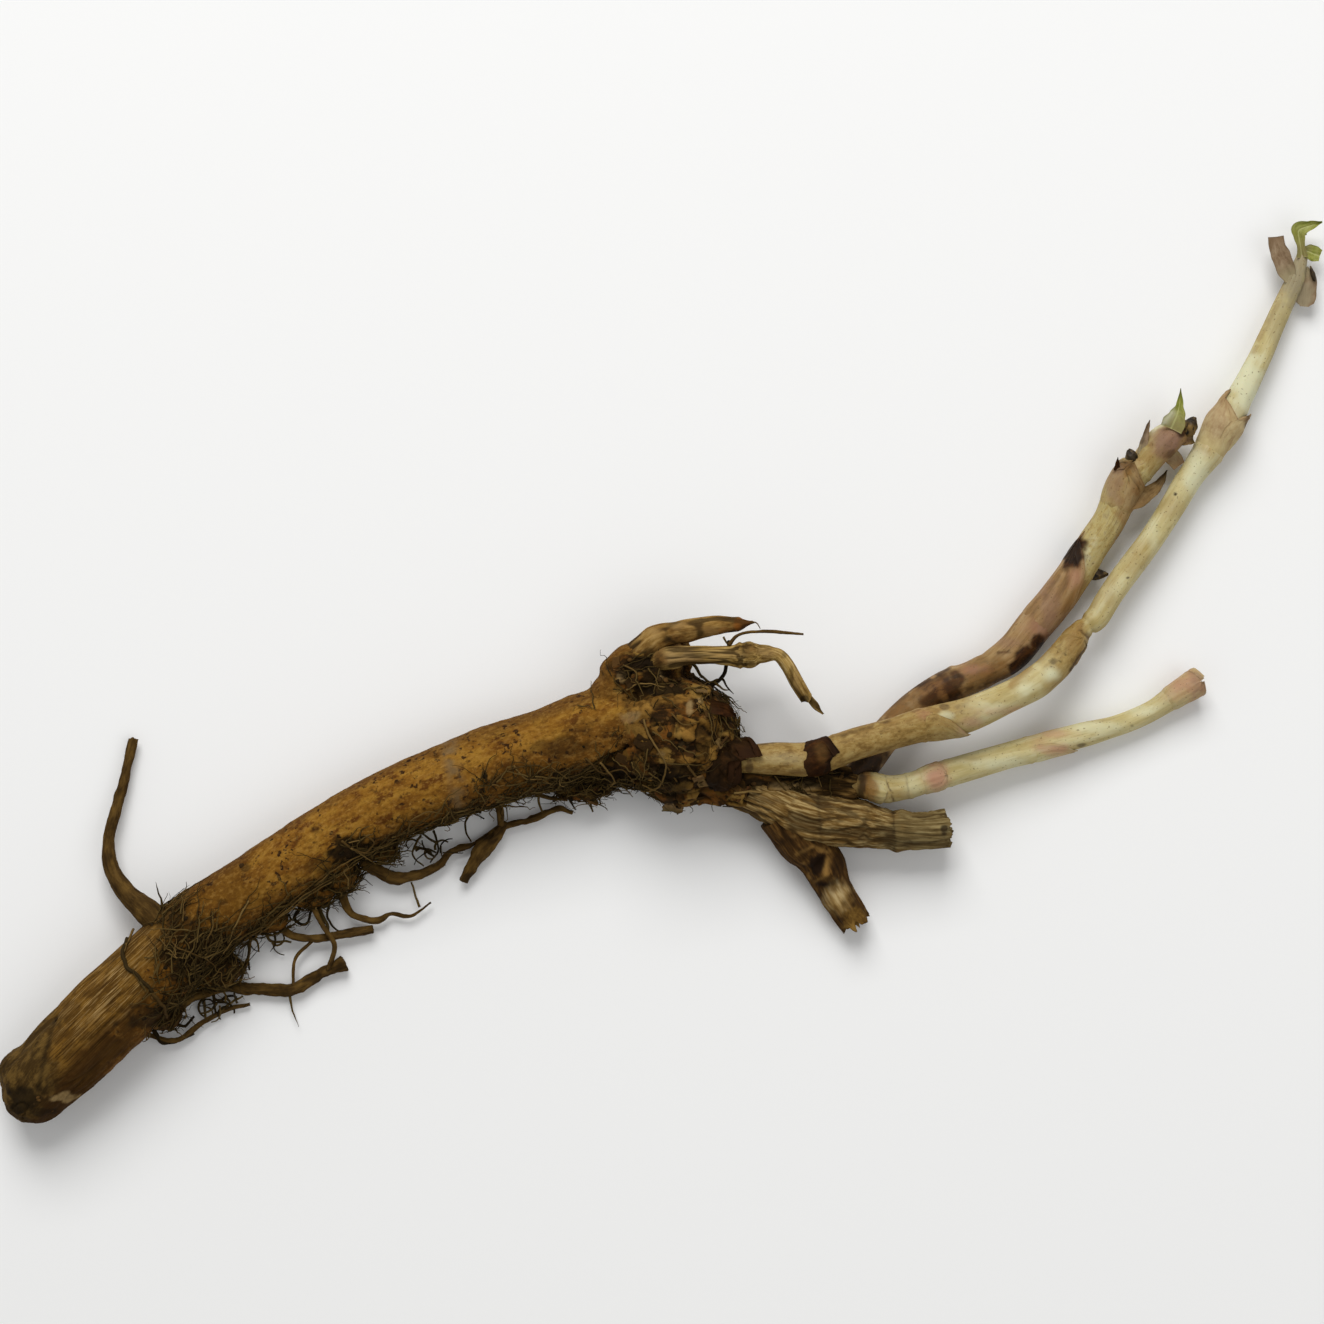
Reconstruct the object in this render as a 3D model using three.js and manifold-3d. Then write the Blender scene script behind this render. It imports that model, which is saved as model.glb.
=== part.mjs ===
// Hop rhizome, lifted from the ground: a woody rootstock with its crown, what is left of last
// year's stems, three new shoots with their scale leaves, and the side roots.
// Millimetres, +Z up. The origin is on the flat that the rootstock rests on, below the place where
// the log meets the crown. +X runs towards the shoots, and the piece lies on the plane z = 0.

import * as THREE from 'three';
import { mergeVertices } from 'three/addons/utils/BufferGeometryUtils.js';
import Module from 'manifold-3d';

const wasm = await Module();
wasm.setup();

// ---------------------------------------------------------------- driving dimensions

const GAP = 0.3;               // clearance between neighbouring pieces
const SHEATH_CLEARANCE = 0.45; // from the skin of a shoot to the inside of a scale leaf on it
const BARK_WAVE = 0.35;        // how far the bark of the log stands in and out
const SCALE_THICKNESS = 0.45;  // a scale leaf or a green leaf
const FLOOR_SLAB = 20;         // thickness of the slab that trims the underside flat
const FLOOR_SIZE = 420;

// Every path is a list of [x, y, z, radius], from the base of the piece to its tip.

const LOG = [
  [-130.6, -85.6, 7.4, 5.6], [-128.4, -82, 8, 7.9], [-124.5, -76.8, 8.6, 8.9], [-119, -71.8, 9, 9.5],
  [-112.4, -66, 9.2, 9.6], [-105.4, -59.4, 9.2, 9.5], [-98.4, -52.6, 9.2, 9.2], [-91, -45.4, 9, 8.8],
  [-80.5, -38, 8.4, 7.7],
  [-67.3, -29.2, 8.2, 7.4], [-56, -22.8, 8.3, 7.5], [-45, -17.2, 8.6, 8], [-33.5, -12.2, 8.8, 8.2],
  [-22.5, -8, 8.8, 8.6], [-11, -4.6, 8.8, 9], [0, -0.6, 9, 9.5], [9, 0.5, 9.6, 10], [16, 0, 11, 9],
];

// The crown is a cluster of knobs: [x, y, z], then its three radii.
const CROWN_KNOBS = [
  [[17, -2, 12], [14.5, 13.5, 12.3]],
  [[9.5, 11.5, 10.6], [9.4, 8, 8.2]],
  [[14, 16, 11.6], [7, 6, 5.6]],
  [[21, 4, 12], [7, 6.5, 8]],
  [[28, -8, 12.5], [8, 7, 8]],
  [[19, -13, 8.5], [9, 6.5, 8.5]],
  [[30, -14, 8.5], [9, 6, 7.5]],
  [[7, -8, 9], [8, 7, 8]],
  [[21, 1, 20], [8, 8, 5.5]],
];
const CROWN_NECK = [
  [24, -9, 10, 7.5], [36, -11.5, 8.4, 6.6], [47, -12, 7.4, 5.4], [54, -12.8, 6.8, 4.4], [58, -13.2, 6.4, 3],
];

const OLD_BINE_STUB = [
  [30.5, -13, 9, 5], [38.5, -16.5, 9, 5.3], [46, -19.8, 9, 6.2], [56.5, -21.5, 8.6, 5.5],
  [65.5, -23, 8, 4.4], [73, -23.4, 7.6, 4.2], [78.3, -23, 7.4, 4.4],
];
const LOWER_STUB = [
  [41, -19, 7.4, 6.2], [45, -25, 6.4, 6], [49.4, -30.8, 5.4, 5], [52.3, -37.2, 4.5, 4.1],
  [54.8, -40.8, 4.1, 3.8], [57.4, -44, 3.8, 3.6],
];
const PEELED_STUB = [
  [10.5, 19, 14.4, 3], [18, 21.3, 15.8, 2.6], [25, 22.5, 16, 2.3], [30.5, 23, 15.8, 1.9], [34, 23.4, 15.6, 0.5],
];
const DRY_BINE = [
  [11, 14.8, 18, 2.3], [20.5, 16, 17.6, 2.2], [28, 16, 16.6, 2.2], [31, 16, 16.1, 2.6], [33.5, 16.2, 15.8, 3.1],
  [36.2, 16.4, 15.4, 2.1], [40, 16.7, 14.7, 1.4], [42, 14.6, 14.2, 1.5], [44, 10.4, 13.4, 1.6],
  [46.1, 6.6, 12.6, 1.5],
];
const DRY_BINE_TIP = [[46.6, 7, 12.4, 0.7], [48.3, 5, 12, 0.8], [50.2, 3, 11.6, 0.35]];

const FRONT_SHOOT = [
  [28, -7, 14, 3], [33, -7, 14.6, 3.2], [39.5, -7, 14.7, 3.6], [47.5, -7, 14.7, 3.8], [56.5, -4, 14.5, 3.6],
  [65.5, -1.5, 14.2, 3.5], [71, 0.2, 14, 3.6], [76, 1.2, 13.6, 3.9], [82, 2.7, 13.2, 3.8], [90, 6, 12.2, 3.5],
  [97, 9.8, 10.9, 3.5], [102, 14.6, 9.6, 3.5], [105.6, 18.6, 8.7, 3.2], [108.4, 21.6, 8, 2.8],
  [111.4, 24.8, 7.4, 2.8], [113.6, 28.4, 7, 2.8], [116.4, 32.5, 6.5, 2.9], [124, 42, 5.8, 2.9],
  [133, 55.5, 5.4, 3.1], [137.5, 62.5, 5.2, 3.6], [140.3, 68, 5.2, 4.1], [142.4, 71.8, 5.1, 3.2],
  [144.2, 75, 4.9, 2.7], [148.5, 83.5, 4.4, 2.3], [153, 94, 3.8, 2], [156.4, 101, 3.4, 1.9], [158, 105.5, 3.2, 1.7],
];
const SCALY_SHOOT = [
  [54, -13, 6.6, 3], [59.5, -8.6, 5.6, 3.4], [64, -2.4, 5, 3.6], [71, 4, 4.8, 3.8], [77.8, 8.9, 4.8, 4.1],
  [84, 11.6, 4.8, 4.1], [89, 13.9, 4.8, 4.1], [93.2, 17, 4.9, 4.1], [98.2, 23, 5, 4.1], [103, 29, 5, 3.7],
  [107.6, 35, 5.2, 3.4], [111, 41, 5.5, 3.1], [114.5, 46.8, 6, 3.1], [117.8, 54, 6.5, 3.7],
  [121.5, 60, 6.8, 3.2], [125.6, 64.6, 7, 3.5], [129.2, 67.4, 7, 3.3],
  [131.4, 68.6, 7, 2.6],
];
const SHORT_SHOOT = [
  [56.5, -13, 9.6, 3], [59.5, -13.2, 9.4, 3.1], [64, -14, 9, 3.1], [69, -13.4, 8.6, 2.9], [72.5, -12.3, 8.2, 2.9],
  [75.5, -11.2, 7.8, 3.1], [81, -9.5, 7.2, 3.1], [92, -6.5, 6, 3], [97, -5.2, 5.5, 3.1], [101, -4, 5, 3],
  [108, -2, 4.4, 2.9], [117, 1, 3.8, 2.3], [124, 4.5, 3.6, 2.3], [129.5, 8, 3.7, 2.7], [134.5, 10.5, 3.8, 2.9],
];

const SIDE_ROOT = [
  [-97, -46, 10.5, 3], [-100.5, -42.5, 9.4, 2.6], [-106.2, -37.3, 7.4, 2], [-109.4, -32, 5.6, 1.6],
  [-110, -25.5, 4, 1.3], [-107.9, -16.5, 2.8, 1.2], [-106.1, -8.5, 2.2, 1.1], [-104.9, -3, 2, 1.05],
];

// The roots below the log: [name, path].
const ROOTS = [
  ['root_long', [
    [-99, -66, 3.4, 1.2], [-92.5, -61.5, 2.6, 1.2], [-85.5, -59, 2, 1.25], [-79, -59.5, 1.8, 1.25],
    [-70, -59.5, 1.8, 1.2], [-62, -55.5, 2, 1.2], [-58, -53.5, 2.2, 1.7],
  ]],
  ['root_forked', [
    [-75, -42.5, 4.6, 0.9], [-70, -47, 3.6, 0.9], [-64, -48, 3, 0.9], [-58, -47, 2.6, 0.95], [-51.5, -46, 2.4, 1],
  ]],
  ['root_hooked', [
    [-58.5, -35, 4.4, 0.9], [-58, -39, 3.6, 0.9], [-56, -42.5, 3, 0.9], [-50.5, -44, 2.4, 0.85],
    [-47.5, -42.5, 2.2, 0.45], [-43, -43, 2, 0.4], [-38.5, -40, 2, 0.3],
  ]],
  ['root_crossing', [
    [-67, -36.5, 5.6, 0.55], [-62.5, -45, 5.2, 0.55], [-60, -49.5, 4.4, 0.55], [-61.6, -53, 4, 0.5],
  ]],
  ['root_under_end', [
    [-103, -69.5, 3.4, 0.6], [-96, -71, 2.4, 0.55], [-90, -67, 1.8, 0.55], [-84, -64, 1.5, 0.55],
    [-79.5, -63, 1.4, 0.45],
  ]],
  ['root_runner', [
    [-54, -30.5, 4.6, 1.3], [-46.5, -34, 3.4, 1.4], [-41.5, -33.5, 2.8, 1.2], [-36, -31, 2.4, 0.9],
    [-34, -28.5, 2.2, 0.75], [-28.5, -26.5, 2, 0.7], [-22.5, -23, 2, 0.7], [-15.5, -21, 2, 0.7],
    [-9, -18.5, 2, 0.8], [-6.5, -19.5, 2, 0.6],
  ]],
  ['root_drop', [[-23.4, -13, 4.4, 0.95], [-22.8, -18, 3.6, 0.9], [-22.4, -21.6, 3.2, 0.8]]],
  ['root_spur', [[-27.8, -28, 2.2, 0.7], [-28.4, -31, 2.2, 0.95], [-31, -34.8, 2.2, 1.1]]],
  ['root_thread_left', [[-79, -46, 3.6, 0.4], [-79.6, -52, 3, 0.35], [-81.5, -57, 3, 0.35]]],
  ['root_thread_middle', [[-66.2, -49.6, 2.6, 0.4], [-69, -52.5, 2.4, 0.35], [-69.5, -57.6, 2.4, 0.35]]],
  ['root_thread_right', [[-18.5, -10, 5, 0.45], [-15.5, -14.5, 4.2, 0.4], [-12, -16, 3.4, 0.4], [-7.5, -16.6, 3, 0.35]]],
  ['root_over_crown', [
    [8.4, 2.4, 22, 0.5], [12, -4.5, 23.8, 0.5], [14.4, -8.4, 22.8, 0.5], [17.8, -12.8, 19.6, 0.45],
  ]],
  ['root_twig', [[28.8, 18.4, 17.4, 0.5], [31, 20.6, 17.6, 0.45], [36, 21.4, 17.2, 0.4], [45.4, 20.8, 16.8, 0.25]]],
];

const BARK = 0x7d5a2a;
const DARK_BARK = 0x4a3319;
const DRY_STEM = 0x8c7344;
const OLD_FIBRE = 0x82704c;
const CREAM = 0xcfc392;
const BROWN_PINK = 0x94764f;
const PINK_SCALE = 0xc09a86;
const ORANGE_SCALE = 0x8a5a2c;
const BUD_DARK = 0x2c2220;
const LEAF_GREEN = 0x86983a;
const ROOT_BROWN = 0x5c4426;

// ---------------------------------------------------------------- solids

const UP = new THREE.Vector3(0, 0, 1);

// Merges the vertices that a three.js geometry repeats along its seams, and drops empty triangles.
function weld(geometry) {
  geometry.deleteAttribute('normal');
  geometry.deleteAttribute('uv');
  const merged = mergeVertices(geometry);
  const index = merged.index.array;
  const kept = [];
  for (let i = 0; i < index.length; i += 3) {
    const [a, b, c] = [index[i], index[i + 1], index[i + 2]];
    if (a !== b && b !== c && c !== a) kept.push(a, b, c);
  }
  merged.setIndex(kept);
  return merged;
}

// Moves every vertex of a welded geometry to where `move` sends it, and makes it a solid.
function shape(geometry, move) {
  const welded = weld(geometry);
  const position = welded.attributes.position;
  const point = new THREE.Vector3();
  for (let i = 0; i < position.count; i += 1) {
    const moved = move(point.fromBufferAttribute(position, i));
    position.setXYZ(i, moved.x, moved.y, moved.z);
  }
  return new wasm.Manifold(new wasm.Mesh({
    numProp: 3,
    vertProperties: Float32Array.from(position.array),
    triVerts: Uint32Array.from(welded.index.array),
  }));
}

function clamp01(value) {
  return Math.min(1, Math.max(0, value));
}

// A stem is a turned profile bent along its centreline. Round it, 0 degrees is its right-hand side
// as seen from above, looking towards the tip, 90 is its top and 180 its left-hand side.
class Stem {
  constructor(path, { sides = 10, spacing = 3, wave = 0 } = {}) {
    const points = path.map(([x, y, z]) => new THREE.Vector3(x, y, z));
    this.curve = new THREE.CatmullRomCurve3(points, false, 'centripetal');
    this.radii = path.map((point) => point[3]);
    this.length = this.curve.getLength();
    this.sides = sides;
    this.rings = Math.max(3, Math.round(this.length / spacing));
    this.wave = wave;
  }

  radius(s) {
    const t = this.curve.getUtoTmapping(clamp01(s / this.length)) * (this.radii.length - 1);
    const i = Math.min(Math.floor(t), this.radii.length - 2);
    return THREE.MathUtils.lerp(this.radii[i], this.radii[i + 1], THREE.MathUtils.smoothstep(t - i, 0, 1));
  }

  // The point at a distance along the stem, another from its axis, and an angle round it.
  place(s, distance, angle) {
    const u = clamp01(s / this.length);
    const along = this.curve.getTangentAt(u);
    const side = along.clone().cross(UP).normalize();
    const up = side.clone().cross(along);
    return this.curve.getPointAt(u)
      .addScaledVector(along, s - u * this.length)
      .addScaledVector(side, distance * Math.cos(angle))
      .addScaledVector(up, distance * Math.sin(angle));
  }

  // How far along the stem it passes closest to a place in the plan.
  nearest(x, y) {
    const samples = 400;
    let best = 0;
    let least = Infinity;
    for (let i = 0; i <= samples; i += 1) {
      const point = this.curve.getPointAt(i / samples);
      const distance = Math.hypot(point.x - x, point.y - y);
      if (distance < least) [best, least] = [i / samples, distance];
    }
    return best * this.length;
  }

  solid(grow = 0) {
    const profile = [new THREE.Vector2(0, -grow)];
    for (let ring = 0; ring <= this.rings; ring += 1) {
      const share = ring / this.rings;
      const s = share * this.length;
      profile.push(new THREE.Vector2(this.radius(s) + grow, s + grow * (2 * share - 1)));
    }
    profile.push(new THREE.Vector2(0, this.length + grow));
    return shape(new THREE.LatheGeometry(profile, this.sides), (point) => {
      const angle = Math.atan2(point.z, point.x);
      const ripple = this.wave * Math.sin(3 * angle + point.y / 9) * Math.sin(point.y / 5.5 + angle);
      const distance = Math.hypot(point.x, point.z);
      return this.place(point.y, distance > 0 ? distance + ripple : 0, angle);
    });
  }
}

// An egg-shaped lump, its long axis turned to point along `direction`.
function lump([x, y, z], [a, b, c], { grow = 0, direction = [1, 0, 0], detail = 10 } = {}) {
  const turn = new THREE.Quaternion();
  turn.setFromUnitVectors(new THREE.Vector3(1, 0, 0), new THREE.Vector3(...direction).normalize());
  const radii = new THREE.Vector3(a + grow, b + grow, c + grow);
  const centre = new THREE.Vector3(x, y, z);
  const ball = new THREE.SphereGeometry(1, detail + 2, detail);
  return shape(ball, (point) => point.clone().multiply(radii).applyQuaternion(turn).add(centre));
}

// A thin sheet in its own (across, along) coordinates, both from 0 to 1 or -1 to 1, thickened and
// sent to its place by `surface(across, along, height)`.
function sheet(acrossSteps, alongSteps, surface) {
  const box = new THREE.BoxGeometry(2, 1, 1, acrossSteps, alongSteps, 1);
  return shape(box, (point) => surface(point.x, point.y + 0.5, point.z + 0.5));
}

// The outline of a scale leaf: full width at the base, then narrowing to a blunt tip.
function outline(along, sharpness) {
  return Math.max(0.06, 1 - along ** sharpness);
}

// A scale leaf that wraps part of a stem, from `at` in the plan for a length towards the tip.
function wrap(stem, { at, angle, span, length, lift = 0.6, sharpness = 2, steps = [7, 3], grow = 0 }) {
  const start = stem.nearest(...at);
  const middle = THREE.MathUtils.degToRad(angle);
  const half = THREE.MathUtils.degToRad(span / 2);
  return sheet(...steps, (across, along, height) => {
    const s = start + along * length;
    const spread = -half * across * outline(along, sharpness);
    const raised = SHEATH_CLEARANCE + lift * along * along + height * SCALE_THICKNESS + grow * (2 * height - 1);
    return stem.place(s, stem.radius(s) + raised, middle + spread);
  });
}

// A free blade, such as a leaf or a spike: a path whose fourth number is its half width, cupped by
// `cup` at its edges.
function blade(path, { cup = 0.3, thickness = SCALE_THICKNESS, steps = [3, 6], grow = 0 } = {}) {
  const spine = new Stem(path);
  return sheet(...steps, (across, along, height) => {
    const s = along * spine.length;
    const half = spine.radius(s) + grow;
    const side = spine.place(s, Math.abs(across) * half, across < 0 ? Math.PI : 0);
    return side.add(new THREE.Vector3(0, 0, cup * across * across + (height - 0.5) * (thickness + 2 * grow)));
  });
}

const floorBox = new THREE.BoxGeometry(FLOOR_SIZE, FLOOR_SIZE, FLOOR_SLAB);
const floor = shape(floorBox, (point) => point.clone().setZ(point.z - FLOOR_SLAB / 2));

// ---------------------------------------------------------------- the object

const group = new THREE.Group();
const placed = [];

// A cut can leave crumbs beside the piece; only its main body is kept.
function mainBody(solid) {
  return solid.decompose().reduce((main, body) => (body.volume() > main.volume() ? body : main));
}

// Adds a piece. `build(grow)` makes its solid, or a fatter one that later pieces are cut with, so
// that every piece stands a small gap away from those added before it.
function add(name, color, build, roughness = 0.85) {
  const solid = mainBody(placed.reduce((left, other) => left.subtract(other), build(0).subtract(floor)));
  placed.push(build(GAP));
  const mesh = solid.getMesh();
  const geometry = new THREE.BufferGeometry();
  geometry.setAttribute('position', new THREE.BufferAttribute(mesh.vertProperties, 3));
  geometry.setIndex(new THREE.BufferAttribute(mesh.triVerts, 1));
  const material = new THREE.MeshStandardMaterial({ color, roughness, metalness: 0 });
  const piece = new THREE.Mesh(geometry, material);
  piece.name = name;
  group.add(piece);
}

function addStem(name, color, stem) {
  add(name, color, (grow) => stem.solid(grow));
  return stem;
}

// Rootstock: log, crown and the neck that carries the shoots grew as one woody body.
const log = new Stem(LOG, { sides: 16, spacing: 5, wave: BARK_WAVE });
const neck = new Stem(CROWN_NECK, { sides: 12, spacing: 4 });
add('rootstock', BARK, (grow) => {
  const knobs = CROWN_KNOBS.map(([centre, radii]) => lump(centre, radii, { grow, detail: 9 }));
  return [neck.solid(grow), ...knobs].reduce((whole, knob) => whole.add(knob), log.solid(grow));
});

// What is left of last year's stems.
addStem('old_bine_stub', OLD_FIBRE, new Stem(OLD_BINE_STUB, { sides: 12, spacing: 4 }));
addStem('lower_stub', DARK_BARK, new Stem(LOWER_STUB, { sides: 12, spacing: 3.5 }));
addStem('peeled_stub', DRY_STEM, new Stem(PEELED_STUB, { sides: 9, spacing: 3 }));
addStem('dry_bine', DRY_STEM, new Stem(DRY_BINE, { sides: 8, spacing: 2.2 }));
addStem('dry_bine_tip', DRY_STEM, new Stem(DRY_BINE_TIP, { sides: 6, spacing: 1.5 }));

// The three new shoots.
const front = addStem('front_shoot', CREAM, new Stem(FRONT_SHOOT, { spacing: 4.2 }));
const scaly = addStem('scaly_shoot', BROWN_PINK, new Stem(SCALY_SHOOT, { spacing: 4 }));
const short = addStem('short_shoot', CREAM, new Stem(SHORT_SHOOT, { spacing: 4 }));

// Scale leaves and buds on the front shoot.
const FRONT_SCALES = [
  ['front_ring_sheath', ORANGE_SCALE, { at: [46, -7], angle: 75, span: 250, length: 8, lift: 0.3, sharpness: 6 }],
  ['front_long_sheath', PINK_SCALE, { at: [71, 0], angle: 20, span: 200, length: 13.5, lift: 0.7, sharpness: 4 }],
  ['front_joint_collar', CREAM, { at: [103, 15.8], angle: 60, span: 220, length: 6, lift: 0.2, sharpness: 6 }],
  ['front_node_scale_left', PINK_SCALE, { at: [139, 65.5], angle: 150, span: 150, length: 9.5, lift: 0.8 }],
  ['front_node_scale_right', PINK_SCALE, { at: [139, 65.5], angle: 10, span: 110, length: 7, lift: 1.8 }],
];
for (const [name, color, leaf] of FRONT_SCALES) add(name, color, (grow) => wrap(front, { ...leaf, grow }));

add('front_tip_scale', PINK_SCALE, (grow) => blade([
  [155.6, 101, 4.6, 1.2], [154, 105, 5.2, 1.6], [152.6, 108, 5.4, 1.9], [152, 110.2, 5.4, 1.7],
], { cup: 0.6, grow }));
add('front_hanging_scale', PINK_SCALE, (grow) => blade([
  [159, 103, 3.2, 1], [160, 100, 3.2, 1.7], [160, 97, 3.1, 1.8], [160, 94.4, 3, 1.3],
], { cup: 0.5, grow }));
add('front_tip_bud', BUD_DARK, (grow) => lump([160.6, 104.2, 3.6], [1.5, 1, 1], { grow, detail: 6 }));
add('leaf_upper', LEAF_GREEN, (grow) => blade([
  [157.4, 106.6, 4.4, 0.8], [156.4, 109.4, 5, 1.6], [157.4, 112, 5.4, 1.9], [160, 113.2, 5.6, 1.4], [162.6, 113.8, 5.6, 0.5],
], { cup: 0.4, grow }));
add('leaf_lower', LEAF_GREEN, (grow) => blade([
  [158.8, 106.8, 3.4, 0.7], [160.2, 107.4, 3.8, 1.6], [161.6, 107, 4, 1.6], [162.7, 105.8, 4, 0.9],
], { cup: 0.4, grow }));

// Scale leaves, spikes and buds on the scaly shoot.
add('scaly_long_sheath', PINK_SCALE, (grow) => wrap(scaly, {
  at: [98, 23], angle: 100, span: 230, length: 15, lift: 0.4, sharpness: 4, grow,
}));
add('scaly_node_sheath', ORANGE_SCALE, (grow) => wrap(scaly, {
  at: [116, 50], angle: 110, span: 240, length: 9.5, lift: 0.8, sharpness: 3, grow,
}));
add('scaly_long_bud', BUD_DARK, (grow) => lump([111.8, 34.3, 5.6], [2.5, 1, 1], {
  direction: [1, 0.1, 0], detail: 6, grow,
}));
add('scaly_round_bud', BUD_DARK, (grow) => lump([119, 60.6, 9], [1.5, 1.3, 1.4], { detail: 8, grow }));
add('scaly_spur', ORANGE_SCALE, (grow) => blade([
  [119.8, 51.4, 6.4, 1], [122.6, 52.4, 6.6, 1.9], [125.2, 53.6, 6.6, 1.5], [127.6, 57.4, 6.6, 0.4],
], { cup: 0.7, grow }));
add('scaly_spike', PINK_SCALE, (grow) => blade([
  [121.4, 63.6, 7, 1], [122.2, 65.8, 7.4, 0.8], [123.4, 69, 7.8, 0.25],
], { cup: 0.2, steps: [2, 5], grow }));
add('scaly_tip_scale', LEAF_GREEN, (grow) => blade([
  [129.4, 68.4, 8.6, 2.2], [129.9, 70.6, 9, 1.7], [130.2, 73, 9.2, 0.9], [130.4, 75.6, 9.2, 0.2],
], { cup: 0.6, grow }));
add('scaly_tip_bud', BUD_DARK, (grow) => lump([133, 68.9, 8.8], [1.5, 1.6, 1.4], { detail: 8, grow }));
add('scaly_drooping_scale', PINK_SCALE, (grow) => blade([
  [127, 62.2, 5, 1.4], [129.2, 60.8, 4.6, 1.9], [130.8, 58.8, 4.4, 1.4],
], { cup: 0.5, grow }));

// Scale leaves on the short shoot.
const SHORT_SCALES = [
  ['short_base_sheath', CREAM, { at: [59.6, -13.2], angle: 80, span: 190, length: 4.4, lift: 0.1, sharpness: 8 }],
  ['short_pink_ring', PINK_SCALE, { at: [72.8, -12.2], angle: 90, span: 240, length: 5.4, lift: 0.1, sharpness: 6 }],
  ['short_node_scale', PINK_SCALE, { at: [96.5, -5.3], angle: 10, span: 170, length: 10.4, lift: 0.5 }],
  ['short_tip_scale', PINK_SCALE, { at: [128, 7], angle: 90, span: 260, length: 8, lift: 0.3, sharpness: 6 }],
];
for (const [name, color, leaf] of SHORT_SCALES) add(name, color, (grow) => wrap(short, { ...leaf, grow }));

// Scales on the crown.
add('crown_dark_sheath', BUD_DARK, (grow) => wrap(front, {
  at: [33.5, -7], angle: 80, span: 250, length: 5.5, lift: 0.9, sharpness: 6, grow,
}));
add('crown_papery_scale', ORANGE_SCALE, (grow) => blade([
  [17, -17, 9.6, 2.2], [16.6, -19, 7.8, 2.4], [16, -20.8, 6, 1.6],
], { cup: 0.4, grow }));
add('crown_pointed_scale', ORANGE_SCALE, (grow) => blade([
  [25.6, 4.6, 21, 1.6], [28, 4, 20.4, 1.4], [30.4, 2.6, 19.2, 0.3],
], { cup: 0.3, grow }));

// Side root and the roots below the log.
addStem('side_root', ROOT_BROWN, new Stem(SIDE_ROOT, { sides: 8, spacing: 3 }));
for (const [name, path] of ROOTS) addStem(name, ROOT_BROWN, new Stem(path, { sides: 6, spacing: 3.2 }));

export default group;
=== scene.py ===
# %% [markdown]
# # A hop rhizome, from bark to root hair
# The rhizome is a woody underground stem. It carries a knobbly crown, the dead stubs of last year's
# stems and three blanched spring shoots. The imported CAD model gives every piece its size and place.
# This lesson grows the fine surfaces round the same centrelines.

# %% Load the frame
import math

import bpy
import numpy as np
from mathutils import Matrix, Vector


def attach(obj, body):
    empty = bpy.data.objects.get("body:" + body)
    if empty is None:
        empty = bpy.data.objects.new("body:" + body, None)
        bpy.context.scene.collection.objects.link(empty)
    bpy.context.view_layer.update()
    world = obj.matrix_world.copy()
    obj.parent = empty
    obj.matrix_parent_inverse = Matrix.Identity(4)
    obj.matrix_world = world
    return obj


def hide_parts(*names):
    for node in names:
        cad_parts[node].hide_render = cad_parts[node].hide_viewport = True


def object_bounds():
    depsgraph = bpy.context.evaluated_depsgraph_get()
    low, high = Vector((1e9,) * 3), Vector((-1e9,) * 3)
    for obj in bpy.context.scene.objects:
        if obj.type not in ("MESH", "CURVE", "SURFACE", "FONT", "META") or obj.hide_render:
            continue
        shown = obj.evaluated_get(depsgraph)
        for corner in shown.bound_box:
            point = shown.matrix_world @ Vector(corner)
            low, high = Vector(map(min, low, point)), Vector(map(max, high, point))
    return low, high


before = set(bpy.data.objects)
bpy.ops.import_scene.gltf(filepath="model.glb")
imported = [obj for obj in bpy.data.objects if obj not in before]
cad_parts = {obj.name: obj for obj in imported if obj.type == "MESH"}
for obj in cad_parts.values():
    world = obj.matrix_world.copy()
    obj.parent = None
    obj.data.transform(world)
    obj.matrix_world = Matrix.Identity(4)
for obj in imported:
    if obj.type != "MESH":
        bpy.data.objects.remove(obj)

CAD_LOW, CAD_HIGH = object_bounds()
MM = 0.001  # everything is modelled in millimetres and scaled to metres when the mesh is made
print("CAD box, mm:", [round(v / MM, 1) for v in (*CAD_LOW, *CAD_HIGH)])

# %% [markdown]
# ## Camera, floor and light
# The camera comes first, because it decides how fine the surfaces have to be. It looks straight
# down with a long lens, as one looks at a specimen lying on a table. A long lens far away keeps
# the thick crown from looking bigger than the flat roots beside it.

# %% Camera, floor and light
FIELD = 0.2979          # width of the view at the height of the shoots, in metres
VIEW_HEIGHT = 0.9       # camera above that height
SHOOT_HEIGHT = 0.008
VIEW_OFFSET = 0.0016    # the view is centred this far beyond the middle of the object
SENSOR = 36.0


def add_camera():
    data = bpy.data.cameras.new("camera")
    data.sensor_width = SENSOR
    data.lens = SENSOR * VIEW_HEIGHT / FIELD
    camera = bpy.data.objects.new("camera", data)
    middle = (CAD_LOW + CAD_HIGH) / 2
    camera.location = (middle.x, middle.y + VIEW_OFFSET, SHOOT_HEIGHT + VIEW_HEIGHT)
    bpy.context.scene.collection.objects.link(camera)
    bpy.context.scene.camera = camera
    print("camera over", [round(v, 4) for v in camera.location], "lens", round(data.lens, 1))


def add_area_light(name, place, size, power, target=(0.01, 0.0, 0.0)):
    data = bpy.data.lights.new(name, "AREA")
    data.size = size
    data.energy = power
    light = bpy.data.objects.new(name, data)
    light.location = place
    aim = bpy.data.objects.new(name + "_aim", None)
    aim.location = target
    for item in (light, aim):
        bpy.context.scene.collection.objects.link(item)
    track = light.constraints.new("TRACK_TO")
    track.target = aim
    track.track_axis, track.up_axis = "TRACK_NEGATIVE_Z", "UP_Y"


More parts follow.
